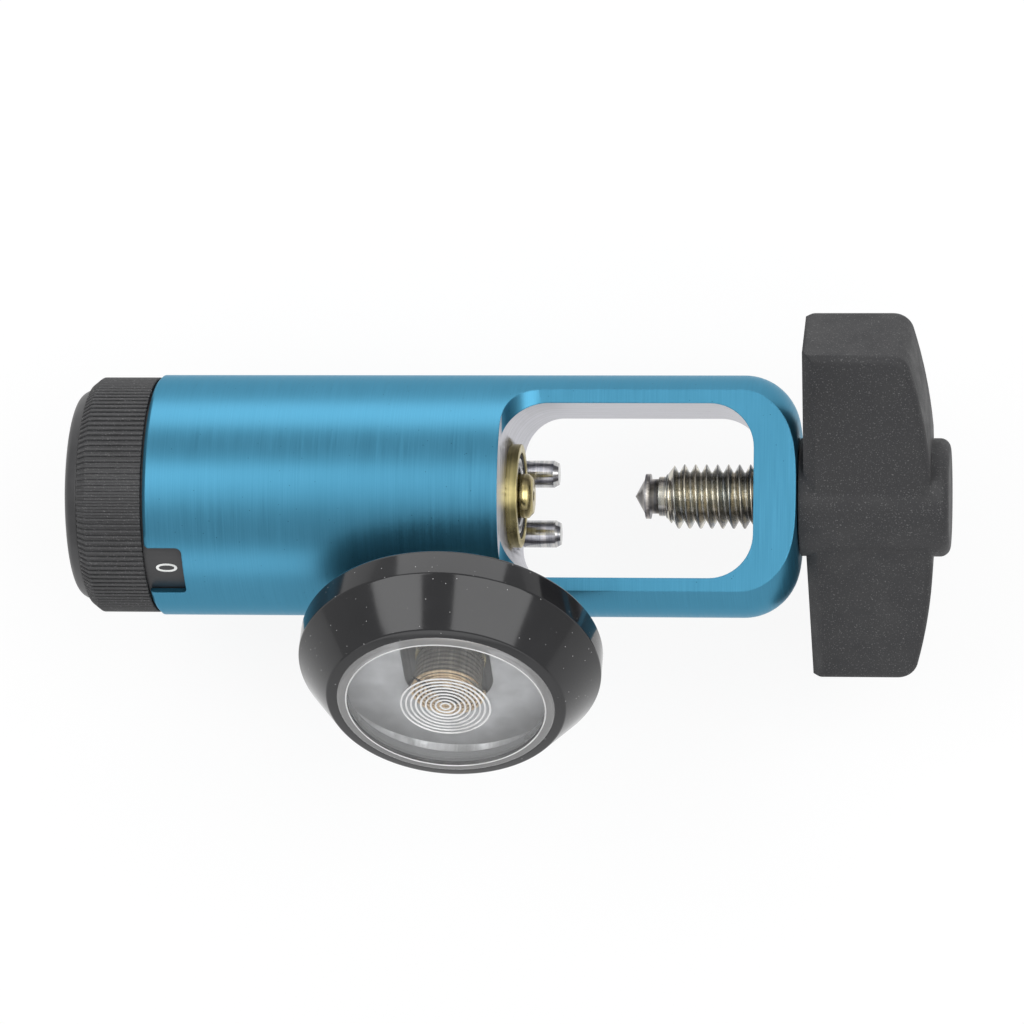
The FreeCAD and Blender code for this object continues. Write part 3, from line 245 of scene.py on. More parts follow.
class Finish(Tree):
    """A material's node tree, with short calls for the nodes that the finishes share."""

    def __init__(self, name, colour, rough, metallic=0.0):
        self.material = bpy.data.materials.new(name)
        self.material.use_nodes = True
        self.material.diffuse_color = (*colour, 1)
        super().__init__(self.material.node_tree)
        self.shader = self.tree.nodes["Principled BSDF"]
        self.surface = self.tree.nodes["Material Output"].inputs["Surface"]
        self.set("Base Color", (*colour, 1))
        self.set("Roughness", rough)
        self.set("Metallic", metallic)
        self.place = self.node("ShaderNodeTexCoord").outputs["Object"]

    def set(self, name, value):
        self.feed(self.shader.inputs[name], value)

    def stretched(self, scale):
        """Object coordinates, scaled in repeats per metre along each axis."""
        return self.node("ShaderNodeMapping", {"Vector": self.place, "Scale": scale}).outputs["Vector"]

    def noise(self, scale, detail=3.0, rough=0.55, vector=None):
        """Noise whose grain is one over the scale, in metres, or follows a stretched vector."""
        inputs = {"Vector": vector or self.place, "Scale": scale, "Detail": detail, "Roughness": rough}
        return self.node("ShaderNodeTexNoise", inputs).outputs["Fac"]

    def specks(self, scale, size):
        """Small round dots: 1 inside a dot and 0 outside."""
        cells = self.node("ShaderNodeTexVoronoi", {"Vector": self.place, "Scale": scale})
        return self.ramp(cells.outputs["Distance"], [(size * 0.6, 1.0), (size, 0.0)])

    def ramp(self, value, stops):
        """Maps a value through stops of (position, grey or colour)."""
        made = self.node("ShaderNodeValToRGB", {"Fac": value})
        elements = made.color_ramp.elements
        while len(elements) < len(stops):
            elements.new(0.5)
        for element, (position, grey) in zip(elements, stops):
            element.position = position
            element.color = (*grey, 1) if isinstance(grey, tuple) else (grey, grey, grey, 1)
        return made.outputs["Color"]

    def mix(self, amount, first, second):
        """Mixes two colours by an amount; each may be plain or an output."""
        made = self.node("ShaderNodeMix", data_type="RGBA")
        for key, value in (("Factor_Float", amount), ("A_Color", first), ("B_Color", second)):
            socket = next(item for item in made.inputs if item.identifier == key)
            self.feed(socket, (*value, 1) if isinstance(value, tuple) else value)
        return next(item for item in made.outputs if item.identifier == "Result_Color")

    def rough_between(self, value, low, high):
        self.set("Roughness", self.ramp(value, [(0.3, low), (0.7, high)]))

    def bump(self, height, strength, depth, below=None):
        """A bump over another normal; its depth is in metres."""
        inputs = {"Height": height, "Strength": strength, "Distance": depth}
        if below is not None:
            inputs["Normal"] = below
        return self.node("ShaderNodeBump", inputs).outputs["Normal"]

    def soft_edge(self, radius):
        """A normal that rounds the sharp edges."""
        return self.node("ShaderNodeBevel", {"Radius": radius}, samples=4).outputs["Normal"]


def anodised_finish():
    """Dyed anodised metal, with the fine rings of turning and a soft satin shine."""
    colour = tuple(sizes().body.colour)
    finish = Finish("anodised_blue", colour, 0.36, 0.88)
    turning = finish.noise(1.0, 2.0, 0.6, finish.stretched((7000, 90, 90)))
    clouds = finish.noise(140.0, 2.0)
    dark = tuple(c * 0.92 for c in colour)
    light = tuple(min(c * 1.05 + 0.006, 1) for c in colour)
    skin = finish.mix(finish.ramp(turning, [(0.3, 0.0), (0.7, 1.0)]), dark, light)
    skin = finish.mix(finish.ramp(clouds, [(0.35, 0.0), (0.75, 0.3)]), skin, dark)
    pits = finish.specks(800.0, 0.07)
    skin = finish.mix(pits, skin, (0.02, 0.10, 0.15))
    finish.set("Base Color", skin)
    finish.rough_between(turning, 0.31, 0.40)
    finish.set("Specular Tint", (0.45, 0.72, 0.85, 1))
    finish.set("Coat Weight", 0.12)
    finish.set("Coat Roughness", 0.25)
    edges = finish.soft_edge(0.25 * MM)
    finish.set("Normal", finish.bump(turning, 0.06, 0.02 * MM, edges))
    return finish.material


def bare_finish():
    """Bare milled metal, with the steps that the cutter leaves."""
    finish = Finish("bare_aluminium", (0.62, 0.62, 0.66), 0.32, 1.0)
    steps = finish.noise(1.0, 3.0, 0.6, finish.stretched((60, 60, 900)))
    finish.set("Base Color", finish.ramp(steps, [(0.3, (0.36, 0.36, 0.4)), (0.7, (0.62, 0.62, 0.67))]))
    finish.rough_between(steps, 0.26, 0.42)
    finish.set("Normal", finish.bump(steps, 0.35, 0.05 * MM))
    return finish.material


def machined_finish(name, light, dark, rough=0.25, stretch=(3000, 60, 60)):
    """Turned bright metal, with fine rings round its axis and slight stains."""
    finish = Finish(name, light, rough, 1.0)
    lines = finish.noise(1.0, 2.0, 0.6, finish.stretched(stretch))
    stains = finish.noise(420.0, 3.0)
    colour = finish.mix(finish.ramp(lines, [(0.3, 0.0), (0.7, 1.0)]), dark, light)
    finish.set("Base Color", finish.mix(finish.ramp(stains, [(0.5, 0.0), (0.8, 0.5)]), colour, dark))
    finish.rough_between(stains, rough * 0.8, rough * 1.5)
    finish.set("Normal", finish.bump(lines, 0.15, 0.02 * MM, finish.soft_edge(0.08 * MM)))
    return finish.material


def plastic_finish(name, colour, rough, grain=2600.0, depth=0.03 * MM, painted_glint=0.0):
    """Moulded plastic with a fine grain and, where asked, pale glints painted into its colour as painted
    highlights for the light that its sanded skin catches.
    """
    finish = Finish(name, colour, rough)
    sand = finish.noise(grain, 3.0, 0.65)
    broad = finish.noise(260.0, 2.0)
    dark = tuple(c * 0.75 for c in colour)
    skin = finish.mix(finish.ramp(broad, [(0.35, 0.0), (0.7, 1.0)]), dark, colour)
    # Painted highlight: pale specks mixed into the colour stand for glints of light off the sanded skin.
    if painted_glint:
        glints = finish.ramp(finish.noise(grain * 1.6, 1.0), [(0.62, 0.0), (0.74, painted_glint)])
        skin = finish.mix(glints, skin, (0.34, 0.34, 0.34))
    finish.set("Base Color", skin)
    finish.rough_between(broad, rough * 0.85, min(rough * 1.2, 1))
    finish.set("Normal", finish.bump(sand, 0.5, depth, finish.soft_edge(0.25 * MM)))
    return finish.material


def rubber_finish(name, colour, rough, dust=0.0, shine=0.5):
    """Moulded rubber, with fine dust where asked."""
    finish = Finish(name, colour, rough)
    finish.set("Specular IOR Level", shine)
    broad = finish.noise(160.0, 3.0)
    pale = tuple(c * 1.4 for c in colour)
    skin = finish.mix(finish.ramp(broad, [(0.3, 0.0), (0.7, 1.0)]), colour, pale)
    if dust:
        motes = finish.multiply(finish.specks(900.0, 0.07), dust)
        skin = finish.mix(motes, skin, (0.45, 0.45, 0.45))
    finish.set("Base Color", skin)
    finish.rough_between(broad, rough * 0.8, rough * 1.4)
    finish.set("Normal", finish.bump(finish.noise(900.0, 3.0), 0.08, 0.02 * MM))
    return finish.material


def clear_finish():
    """Clear moulded plastic, which lets the lights through to what it covers."""
    finish = Finish("lens_clear", (0.95, 0.96, 0.97), 0.03)
    finish.set("Transmission Weight", 1.0)
    finish.set("IOR", 1.49)
    finish.rough_between(finish.noise(200.0, 2.0), 0.02, 0.05)
    unlit = finish.node("ShaderNodeBsdfTransparent", {"Color": (0.96, 0.97, 0.97, 1)})
    path = finish.node("ShaderNodeLightPath")
    shown_or_unlit = finish.node("ShaderNodeMixShader", {
        0: path.outputs["Is Shadow Ray"], 1: finish.shader.outputs[0], 2: unlit.outputs[0]})
    finish.feed(finish.surface, shown_or_unlit.outputs[0])
    return finish.material


def edge_finish():
    """The lens's thick clear rim, which gathers light; its pale look is painted light, a grey share in its
    colour beside the clear part.
    """
    # Painted light: the grey share in the rim's colour stands for the pale glow of light gathered in the
    # clear rim.
    finish = Finish("lens_edge", (0.4, 0.4, 0.4), 0.1)
    finish.set("Transmission Weight", 0.6)
    finish.set("IOR", 1.49)
    finish.rough_between(finish.noise(200.0, 2.0), 0.08, 0.18)
    return finish.material


# The light and the dark tone of each machined metal, and its roughness where it isn't the usual one.
METALS = {
    "pin_steel": ((0.60, 0.59, 0.57), (0.30, 0.31, 0.33), 0.16),
    "bush_steel": ((0.55, 0.55, 0.55), (0.30, 0.30, 0.31), 0.25),
    "screw_steel": ((0.82, 0.74, 0.58), (0.20, 0.24, 0.27), 0.2),
    "point_steel": ((0.6, 0.56, 0.5), (0.28, 0.28, 0.3), 0.36),
    "small_steel": ((0.6, 0.6, 0.6), (0.4, 0.4, 0.42)),
    "disc_steel": ((0.65, 0.65, 0.66), (0.5, 0.5, 0.52)),
    "ball_steel": ((0.7, 0.7, 0.7), (0.6, 0.6, 0.6), 0.1),
    "spring_steel": ((0.5, 0.5, 0.5), (0.35, 0.35, 0.35)),
    "clip_steel": ((0.3, 0.3, 0.31), (0.2, 0.2, 0.21), 0.35),
    "case_steel": ((0.55, 0.55, 0.55), (0.42, 0.42, 0.42), 0.4),
    "barb_brass": ((0.68, 0.67, 0.64), (0.5, 0.5, 0.5), 0.2),
    "seal_brass": ((0.62, 0.53, 0.24), (0.36, 0.31, 0.14), 0.3),
    "nipple_brass": ((0.66, 0.55, 0.26), (0.34, 0.29, 0.14), 0.22),
    "filter_bronze": ((0.55, 0.38, 0.22), (0.3, 0.2, 0.12), 0.6),
    "spindle_brass": ((0.62, 0.54, 0.30), (0.5, 0.42, 0.22)),
    "plate_brass": ((0.62, 0.54, 0.30), (0.5, 0.42, 0.22)),
    "piston_brass": ((0.62, 0.54, 0.30), (0.5, 0.42, 0.22)),
    "relief_brass": ((0.62, 0.54, 0.30), (0.45, 0.38, 0.2)),
    "socket_brass": ((0.62, 0.54, 0.30), (0.45, 0.38, 0.2)),
    "coil_bronze": ((0.92, 0.74, 0.5), (0.66, 0.48, 0.3), 0.4),
    # The coil's tube: the coil's bronze made dark and grey as painted shade, for the tube that sits deep in
    # the case.
    "coil_shade": ((0.34, 0.31, 0.25), (0.2, 0.18, 0.15), 0.5),
}

# The colour and roughness of each plastic, and its grain's scale and depth and the share of its painted
# glints where set.
PLASTICS = {
    "handle_plastic": ((0.018, 0.018, 0.02), 0.6, 3200.0, 0.05 * MM, 0.24),
    "knob_plastic": ((0.036, 0.036, 0.038), 0.45, 3000.0, 0.02 * MM, 0.3),
    "cap_plastic": ((0.036, 0.036, 0.038), 0.4, 3600.0, 0.01 * MM),
    "sleeve_plastic": ((0.022, 0.022, 0.024), 0.4),
    "seat_nylon": ((0.7, 0.68, 0.6), 0.5),
    "dial_white": ((0.57, 0.57, 0.58), 0.4, 1200.0, 0.01 * MM),
    "number_white": ((0.75, 0.76, 0.75), 0.5, 4000.0, 0.01 * MM),
    # Painted highlight: opaque white for the light caught by the lens's moulded rings and by the bead at
    # its edge.
    "ring_white": ((0.8, 0.8, 0.8), 0.3, 1500.0, 0.01 * MM),
    "pointer_black": ((0.03, 0.03, 0.03), 0.4),
}

# The colour and roughness of each rubber, and its dust and shine where set.
RUBBERS = {
    "seal_rubber": ((0.02, 0.02, 0.022), 0.75),
    "oring_rubber": ((0.02, 0.02, 0.022), 0.4),
    "boot_rubber": ((0.009, 0.009, 0.010), 0.1, 0.9, 0.46),
}

OTHER_FINISHES = {
    "anodised_blue": anodised_finish,
    "bare_aluminium": bare_finish,
    "lens_clear": clear_finish,
    "lens_edge": edge_finish,
}


def made_finish(name):
    if name in METALS:
        return machined_finish(name, *METALS[name])
    if name in PLASTICS:
        return plastic_finish(name, *PLASTICS[name])
    if name in RUBBERS:
        return rubber_finish(name, *RUBBERS[name])
    return OTHER_FINISHES[name]()


def finish(name):
    """The named material, made the first time it is asked for."""
    material = bpy.data.materials.get("finish_" + name)
    if material is None:
        material = made_finish(name)
        material.name = "finish_" + name
    return material


# Shapes.

def on_gauge(station):
    """The place of a piece built upright, at a station of the gauge's axis."""
    turn = Z_AXIS.rotation_difference(GAUGE_OUT).to_matrix().to_4x4()
    return Matrix.Translation(GAUGE_FOOT + GAUGE_OUT * station) @ turn


def gauge_spot(point):
    """A point's station on the gauge's axis, and its arm square to that axis."""
    arm = point - GAUGE_FOOT
    station = arm.dot(GAUGE_OUT)
    return station, arm - GAUGE_OUT * station


def shown(name, mesh, material):
    """Puts a mesh in the scene as an object at the origin."""
    item = bpy.data.objects.new(name, mesh)
    bpy.context.scene.collection.objects.link(item)
    item.data.materials.clear()
    item.data.materials.append(finish(material))
    return item


def settle(item, body, slot, *nodes):
    """Hangs a finished piece on its body, in place of the solids that it stands for."""
    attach(item, body)
    if nodes:
        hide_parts(*nodes)


def shade(mesh, degrees=32.0):
    mesh.shade_smooth()
    mesh.set_sharp_from_angle(angle=math.radians(degrees))


def closed(build):
    """Merges what lies together and turns all faces outwards."""
    bmesh.ops.remove_doubles(build, verts=build.verts, dist=JOIN)
    bmesh.ops.recalc_face_normals(build, faces=build.faces)


def solid_copy(node, name, material, degrees=32.0):
    """A smooth-shaded copy of a solid's mesh, with its loose triangles joined."""
    mesh = bpy.data.meshes.new(name)
    build = bmesh.new()
    build.from_mesh(frame["nodes"][node].data)
    bmesh.ops.remove_doubles(build, verts=build.verts, dist=JOIN)
    build.to_mesh(mesh)
    build.free()
    shade(mesh, degrees)
    return shown(name, mesh, material)


def dress(node, name, material, body="root", degrees=32.0):
    """Lets a smooth copy in its own finish stand for a solid whose shape it keeps."""
    settle(solid_copy(node, name, material, degrees), body, material, node)


def spun(name, profile, material, segments=160, axis=X_AXIS, foot=Vector((0, 0, 0)), degrees=32.0):
    """Spins a closed profile of (station, radius) points, in millimetres, about an axis."""
    build = bmesh.new()
    turn = X_AXIS.rotation_difference(axis).to_matrix().to_4x4()
    start = [build.verts.new((station * MM, radius * MM, 0)) for station, radius in profile]
    edges = [build.edges.new((start[i], start[(i + 1) % len(start)])) for i in range(len(start))]
    bmesh.ops.spin(build, geom=start + edges, cent=(0, 0, 0), axis=X_AXIS, angle=2 * math.pi,
                   steps=segments, use_merge=True)
    closed(build)
    slivers = [face for face in build.faces if face.calc_area() < SLIVER]
    bmesh.ops.delete(build, geom=slivers, context="FACES")
    build.transform(Matrix.Translation(foot) @ turn)
    mesh = bpy.data.meshes.new(name)
    build.to_mesh(mesh)
    build.free()
    shade(mesh, degrees)
    return shown(name, mesh, material)


def rounded(profile, radii, steps=6):
    """Rounds the corners of a closed (station, radius) profile by the radii given for each corner."""
    made = []
    count = len(profile)
    for i, corner in enumerate(profile):
        radius = radii.get(i, 0)
        here = Vector(corner)
        if not radius:
            made.append(tuple(here))
            continue
        back = (Vector(profile[i - 1]) - here).normalized()
        ahead = (Vector(profile[(i + 1) % count]) - here).normalized()
        half = back.angle(ahead) / 2
        reach = radius / math.tan(half)
        middle = here + (back + ahead).normalized() * radius / math.sin(half)
        first, last = here + back * reach - middle, here + ahead * reach - middle
        for k in range(steps + 1):
            made.append(tuple(middle + first.slerp(last, k / steps).normalized() * radius))
    return made


class Nodes(Tree):
    """A Geometry Nodes tree with named inputs, run once to make a plain mesh."""

    def __init__(self, name, inputs):
        super().__init__(bpy.data.node_groups.new(name, "GeometryNodeTree"))
        sockets = self.tree.interface
        sockets.new_socket("Geometry", in_out="OUTPUT", socket_type="NodeSocketGeometry")
        self.values = {}
        for label, value in inputs.items():
            kind = "NodeSocketInt" if isinstance(value, int) else "NodeSocketFloat"
            socket = sockets.new_socket(label, in_out="INPUT", socket_type=kind)
            self.values[socket.identifier] = value
        self.given = self.node("NodeGroupInput").outputs
        self.out = self.node("NodeGroupOutput")

    def position(self):
        """The place of each point, as its separate X, Y and Z."""
        spot = self.node("GeometryNodeInputPosition").outputs[0]
        return self.node("ShaderNodeSeparateXYZ", {0: spot}).outputs

    def tube(self, path, radius, sides, capped=False):
        """A round tube along a path."""
        wire = self.node("GeometryNodeCurvePrimitiveCircle", {"Resolution": sides, "Radius": radius})
        tube = self.node("GeometryNodeCurveToMesh", {
            "Curve": path, "Profile Curve": wire.outputs[0], "Fill Caps": capped})
        return tube.outputs[0]

    def vector(self, x=0.0, y=0.0, z=0.0):
        return self.node("ShaderNodeCombineXYZ", {"X": x, "Y": y, "Z": z}).outputs[0]

    def make(self, name, geometry, material, place=None, degrees=32.0):
        """Ends the tree, runs it on an empty object and returns the result as a plain mesh object."""
        whole = self.node("GeometryNodeRealizeInstances", {"Geometry": geometry}).outputs[0]
        joined = self.node("GeometryNodeMergeByDistance", {"Geometry": whole, "Distance": NODE_JOIN})
        dressed = self.node("GeometryNodeSetMaterial", {"Geometry": joined.outputs[0],
                                                        "Material": finish(material)})
        self.feed(self.out.inputs[0], dressed.outputs[0])
        carrier = bpy.data.objects.new(name + "_carrier", bpy.data.meshes.new(name + "_carrier"))
        bpy.context.scene.collection.objects.link(carrier)
        modifier = carrier.modifiers.new("shape", "NODES")
        modifier.node_group = self.tree
        for identifier, value in self.values.items():
            modifier[identifier] = value
        shape = carrier.evaluated_get(bpy.context.evaluated_depsgraph_get())
        mesh = bpy.data.meshes.new_from_object(shape)
        bpy.data.objects.remove(carrier)
        mesh.name = name
        if place is not None:
            mesh.transform(place)
        shade(mesh, degrees)
        return shown(name, mesh, material)


# Pieces.

def true_normals(mesh, size):
    """Gives the turned faces of the bar the exact direction of the cylinder and of its rounded nose."""
    ring = size.radius - size.nose_round
    middle = size.nose_end - size.nose_round
    near, hair, alike = 0.03 * MM, 0.001 * MM, 0.97
    normals = [tuple(normal.vector) for normal in mesh.corner_normals]
    for face in mesh.polygons:
        for loop in face.loop_indices:
            point = mesh.vertices[mesh.loops[loop].vertex_index].co
            out = Vector((0, point.y, point.z))
            far = out.length
            if far < ring:
                continue
            out = out / far
            if point.x > middle - hair:
                heart = out * ring + X_AXIS * middle
                arm = point - heart
                if abs(arm.length - size.nose_round) > near:
                    continue
                exact = arm.normalized()
            elif abs(far - size.radius) < near:
                exact = out
            else:
                continue
            if face.normal.dot(exact) > alike:
                normals[loop] = tuple(exact)
    mesh.normals_split_custom_set(normals)


class RegulatorBody(bpy.types.Operator):
    """Dresses the anodised yoke body, with its bare milled window"""
    bl_idname = "regulator.body"
    bl_label = "Yoke body"

    def execute(self, context):
        part = sizes().body
        body = solid_copy("yoke_body", "body_skin", "anodised_blue", 28)
        mesh = body.data
        mesh.materials.append(finish("bare_aluminium"))
        near, steep = 0.02 * MM, 0.2
        for face in mesh.polygons:
            at = face.center
            inside = part.window_back - near < at.x < part.window_front + near
            if inside and abs(at.y) < part.window_half + near and abs(face.normal.z) < steep:
                face.material_index = 1
        true_normals(mesh, part)
        settle(body, "root", "anodised_blue", "yoke_body")
        return {"FINISHED"}


class RegulatorInlet(bpy.types.Operator):
    """Makes the seal rings, the nipple and the index pins round the inlet"""
    bl_idname = "regulator.inlet"
    bl_label = "Inlet"

    def execute(self, context):
        part = sizes().body
        seat = part.window_back / MM
        ring = rounded([(seat, 6.25), (0, 6.25), (0, 7.5), (seat, 7.5)], {1: 0.1, 2: 0.14})
        settle(spun("seal_ring_turned", ring, "seal_brass"), "root", "seal_brass", "seal_ring")
        rubber = rounded([(seat, 5.5), (-0.15, 5.5), (-0.15, 6.25), (seat, 6.25)], {1: 0.3, 2: 0.3})
        settle(spun("seal_rubber_moulded", rubber, "seal_rubber"), "root", "seal_rubber", "seal_rubber")
        bush = rounded([(seat, 4.15), (-0.3, 4.15), (-0.3, 5.5), (seat, 5.5)], {1: 0.25, 2: 0.12})
        settle(spun("inlet_bush_turned", bush, "bush_steel"), "root", "bush_steel", "inlet_bush")
        dress("inlet_nipple", "nipple_turned", "nipple_brass")
        self.set_pins(part)
        return {"FINISHED"}

    def set_pins(self, part):
        """Turns the two index pins, which stand out of the seat by slightly different lengths."""
        foot, neck, shank, bevel = -7.6, 1.6, 2, 0.75
        low = part.pin_circle * math.cos(part.pin_angle)
        side = part.pin_circle * math.sin(part.pin_angle)
        for name, tip, across, nodes in (("upper_index_pin", 3.9, side, ["index_pins"]),
                                         ("lower_index_pin", 4.3, -side, [])):
            pin = [(foot, 0), (tip, 0), (tip, neck), (tip - bevel, shank), (-1.2, shank), (-1.2, neck),
                   (foot, neck)]
            item = spun(name, pin, "pin_steel", 64, foot=Vector((0, across, -low)), degrees=15)
            settle(item, "root", "pin_steel", *nodes)


class RegulatorScrew(bpy.types.Operator):
    """Cuts the clamp screw's thread and turns its swivel point"""
    bl_idname = "regulator.screw"
    bl_label = "Clamp screw"

    def execute(self, context):
        screw = self.cut_thread(sizes().thread)
        build = bmesh.new()
        build.from_mesh(screw.data)
        closed(build)
        build.to_mesh(screw.data)
        build.free()
        settle(screw, "screw_and_handle", "screw_steel", "clamp_screw")
        collar = rounded([(19.95, 0), (21.65, 0), (21.65, 3.2), (21.05, 3.2), (20.95, 2.85),
                          (19.95, 2.85)], {3: 0.1, 5: 0.1})
        settle(spun("clamp_screw_collar", collar, "screw_steel"), "screw_and_handle", "screw_steel")
        dress("screw_point", "screw_point_turned", "point_steel", "swivel_point")
        return {"FINISHED"}

    def cut_thread(self, part):
        """Bends a grid round the axis, with its radius following the thread's rise and fall."""
        tree = Nodes("clamp_thread", {
            "Pitch": part.pitch, "Crest Radius": part.crest, "Root Radius": part.root,
            "Neck Radius": part.neck, "Start": part.start, "Length": part.length, "Lead": part.lead,
            "Rows Along": part.rings, "Rows Round": part.sides,
        })
        given = tree.given
        flat, hair = 0.12, 0.001 * MM
        grid = tree.node("GeometryNodeMeshGrid", {
            "Size X": given["Length"], "Size Y": 2 * math.pi,
            "Vertices X": given["Rows Along"], "Vertices Y": given["Rows Round"]})
        spot = tree.position()
        along = tree.add(spot["X"], tree.divide(given["Length"], 2.0))
        turn = tree.divide(spot["Y"], 2 * math.pi)
        phase = tree.math("FRACT", tree.subtract(tree.divide(along, given["Pitch"]), turn))
        slope = tree.math("ABSOLUTE", tree.subtract(tree.multiply(phase, 2.0), 1.0))
        ridge = tree.subtract(1 + flat, tree.multiply(slope, 1 + 2 * flat))
        ridge = tree.math("MINIMUM", tree.math("MAXIMUM", ridge, 0.0), 1.0)
        depth = tree.subtract(given["Crest Radius"], given["Root Radius"])
        cut = tree.add(given["Root Radius"], tree.multiply(ridge, depth))
        growth = tree.subtract(given["Crest Radius"], given["Neck Radius"])
        growth = tree.multiply(tree.divide(along, given["Lead"]), growth)
        radius = tree.math("MINIMUM", cut, tree.add(given["Neck Radius"], growth))
        near_start = tree.math("GREATER_THAN", along, hair)
        near_end = tree.math("LESS_THAN", along, tree.subtract(given["Length"], hair))
        radius = tree.multiply(radius, tree.multiply(near_start, near_end))
        placed = tree.vector(tree.add(along, given["Start"]),
                             tree.multiply(radius, tree.math("COSINE", spot["Y"])),
                             tree.multiply(radius, tree.math("SINE", spot["Y"])))
        wound = tree.node("GeometryNodeSetPosition", {"Geometry": grid.outputs[0], "Position": placed})
        return tree.make("clamp_screw_thread", wound.outputs[0], "screw_steel", degrees=40)


class RegulatorHandle(bpy.types.Operator):
    """Moulds the T-handle"""
    bl_idname = "regulator.handle"
    bl_label = "T-handle"

    def execute(self, context):
        dress("t_handle", "t_handle_moulded", "handle_plastic", "screw_and_handle", 25)
        return {"FINISHED"}


class RegulatorKnob(bpy.types.Operator):
    """Moulds the selector knob: the ribbed ring, its cap and the numbered sleeve"""
    bl_idname = "regulator.knob"
    bl_label = "Selector knob"

    def execute(self, context):
        part = sizes().knob
        bevel_fall, edge = 0.8, 0.1
        base = (part.radius - part.height) / MM
        back, front, bevel = part.back / MM, part.front / MM, part.bevel / MM
        web_back, web_front, hub = part.web_back / MM, part.web_front / MM, part.hub / MM
        skirt_bore, cap_bore = part.skirt_bore / MM, part.cap_bore / MM
        ring = [(front, skirt_bore), (front, base - edge), (front - edge, base),
                (back + bevel, base), (back, base - bevel * bevel_fall), (back, cap_bore),
                (web_back, cap_bore), (web_back, hub), (web_front, hub), (web_front, skirt_bore)]
        settle(spun("knob_ring_moulded", ring, "knob_plastic", 180, degrees=20), "selector", "knob_plastic",
               "knob_ring")
        settle(self.raise_ribs(part, bevel_fall), "selector", "knob_plastic")
        settle(self.mould_cap(back), "selector", "cap_plastic", "knob_cap")
        dress("number_sleeve", "number_sleeve_moulded", "sleeve_plastic", "selector")
        self.print_numbers()
        return {"FINISHED"}

    def raise_ribs(self, part, bevel_fall):
        """Stands the grip's ribs round the ring; each follows the bevel at the ring's back."""
        tree = Nodes("knob_ribs", {
            "Count": part.rib_count, "Width": part.rib_width, "Height": part.height,
            "Radius": part.radius, "Back": part.back, "Front": part.front, "Bevel": part.bevel,
        })
        given = tree.given
        span = tree.subtract(given["Front"], given["Back"])
        bar = tree.node("GeometryNodeMeshCylinder", {"Vertices": 10, "Side Segments": 28, "Radius": 1.0,
                                                     "Depth": span})
        spot = tree.position()
        slope_start = tree.subtract(tree.divide(span, 2.0), given["Bevel"])
        beyond = tree.subtract(tree.multiply(spot["Z"], -1.0), slope_start)
        fall = tree.multiply(tree.math("MAXIMUM", beyond, 0.0), bevel_fall)
        raised = tree.subtract(tree.multiply(spot["X"], given["Height"]), fall)
        half = tree.multiply(tree.divide(given["Width"], 2.0), spot["Y"])
        shaped = tree.node("GeometryNodeSetPosition", {
            "Geometry": bar.outputs["Mesh"], "Position": tree.vector(raised, half, spot["Z"])})
        seat = tree.subtract(given["Radius"], given["Height"])
        points = tree.node("GeometryNodeMeshCircle", {"Vertices": given["Count"], "Radius": seat})
        index = tree.node("GeometryNodeInputIndex").outputs[0]
        angle = tree.multiply(index, tree.divide(2 * math.pi, given["Count"]))
        ribs = tree.node("GeometryNodeInstanceOnPoints", {
            "Points": points.outputs[0], "Instance": shaped.outputs[0],
            "Rotation": tree.vector(0.0, 0.0, angle)})
        middle = tree.divide(tree.add(given["Back"], given["Front"]), 2.0)
        laid = tree.node("GeometryNodeTransform", {
            "Geometry": ribs.outputs[0], "Rotation": (0, math.pi / 2, 0),
            "Translation": tree.vector(middle, 0.0, 0.0)})
        return tree.make("knob_ribs", laid.outputs[0], "knob_plastic", degrees=50)

    def mould_cap(self, back):
        """Turns the crowned cap, with the small moulding nub beside its middle."""
        crown_height, crown_bow = 3.65, 58.2
        nub_radius, nub_height, nub_round, nub_place = 1.75, 0.65, 0.45, (0, -3 * MM, 0)
        crown, sunk = back - crown_height, 0.8
        dome = [(crown + radius ** 2 / 2 / crown_bow, radius) for radius in (12, 10, 8, 6, 4, 2, 0)]
        cap = rounded([(back + 2.2, 14.4), (back, 14.4), (back, 15.6), (back - 1.9, 14.6)] + dome
                      + [(crown + 1.2, 0), (crown + 1.2, 7), (back - 0.2, 12.8), (back + 2.2, 12.8)],
                      {2: 0.2, 3: 1.8}, 10)
        item = spun("knob_cap_moulded", cap, "cap_plastic", 160, degrees=40)
        top = crown - nub_height
        nub = rounded([(crown + sunk, 0), (top, 0), (top, nub_radius), (crown + sunk, nub_radius)],
                      {2: nub_round}, 6)
        pip = spun("knob_nub", nub, "cap_plastic", 48, foot=Vector(nub_place), degrees=40)
        build = bmesh.new()
        build.from_mesh(item.data)
        build.from_mesh(pip.data)
        build.to_mesh(item.data)
        build.free()
        bpy.data.objects.remove(pip)
        return item

    def print_numbers(self):
        """Wraps plain flow numbers round the sleeve, read along the bar."""
        radius, proud, station = 16.3 * MM, 0.02 * MM, -49.9 * MM
        notch, step = math.radians(45), math.radians(30)
        tall, narrow, wide = 3.1 * MM, 1.55 * MM, 2.7 * MM
        marks = ["0", "1", "2", "3", "4", "5", "6", "7", "8", "10", "12", "15"]
        lift = radius + proud
        build = bmesh.new()
        for index, mark in enumerate(marks):
            glyph = self.flat_mark(mark)
            breadth = narrow if len(mark) == 1 else wide
            for vertex in glyph.vertices:
                angle = notch + step * index + vertex.co.x * breadth / radius
                vertex.co = (station + vertex.co.y * tall, -lift * math.sin(angle), lift * math.cos(angle))
            build.from_mesh(glyph)
            bpy.data.meshes.remove(glyph)
        bmesh.ops.triangulate(build, faces=build.faces)
        for face in build.faces:
            face.normal_update()
            at = face.calc_center_median()
            if face.normal.dot(Vector((0, at.y, at.z))) < 0:
                face.normal_flip()
        mesh = bpy.data.meshes.new("sleeve_numbers")
        build.to_mesh(mesh)
        build.free()
        settle(shown("sleeve_numbers", mesh, "number_white"), "selector", "sleeve_plastic")

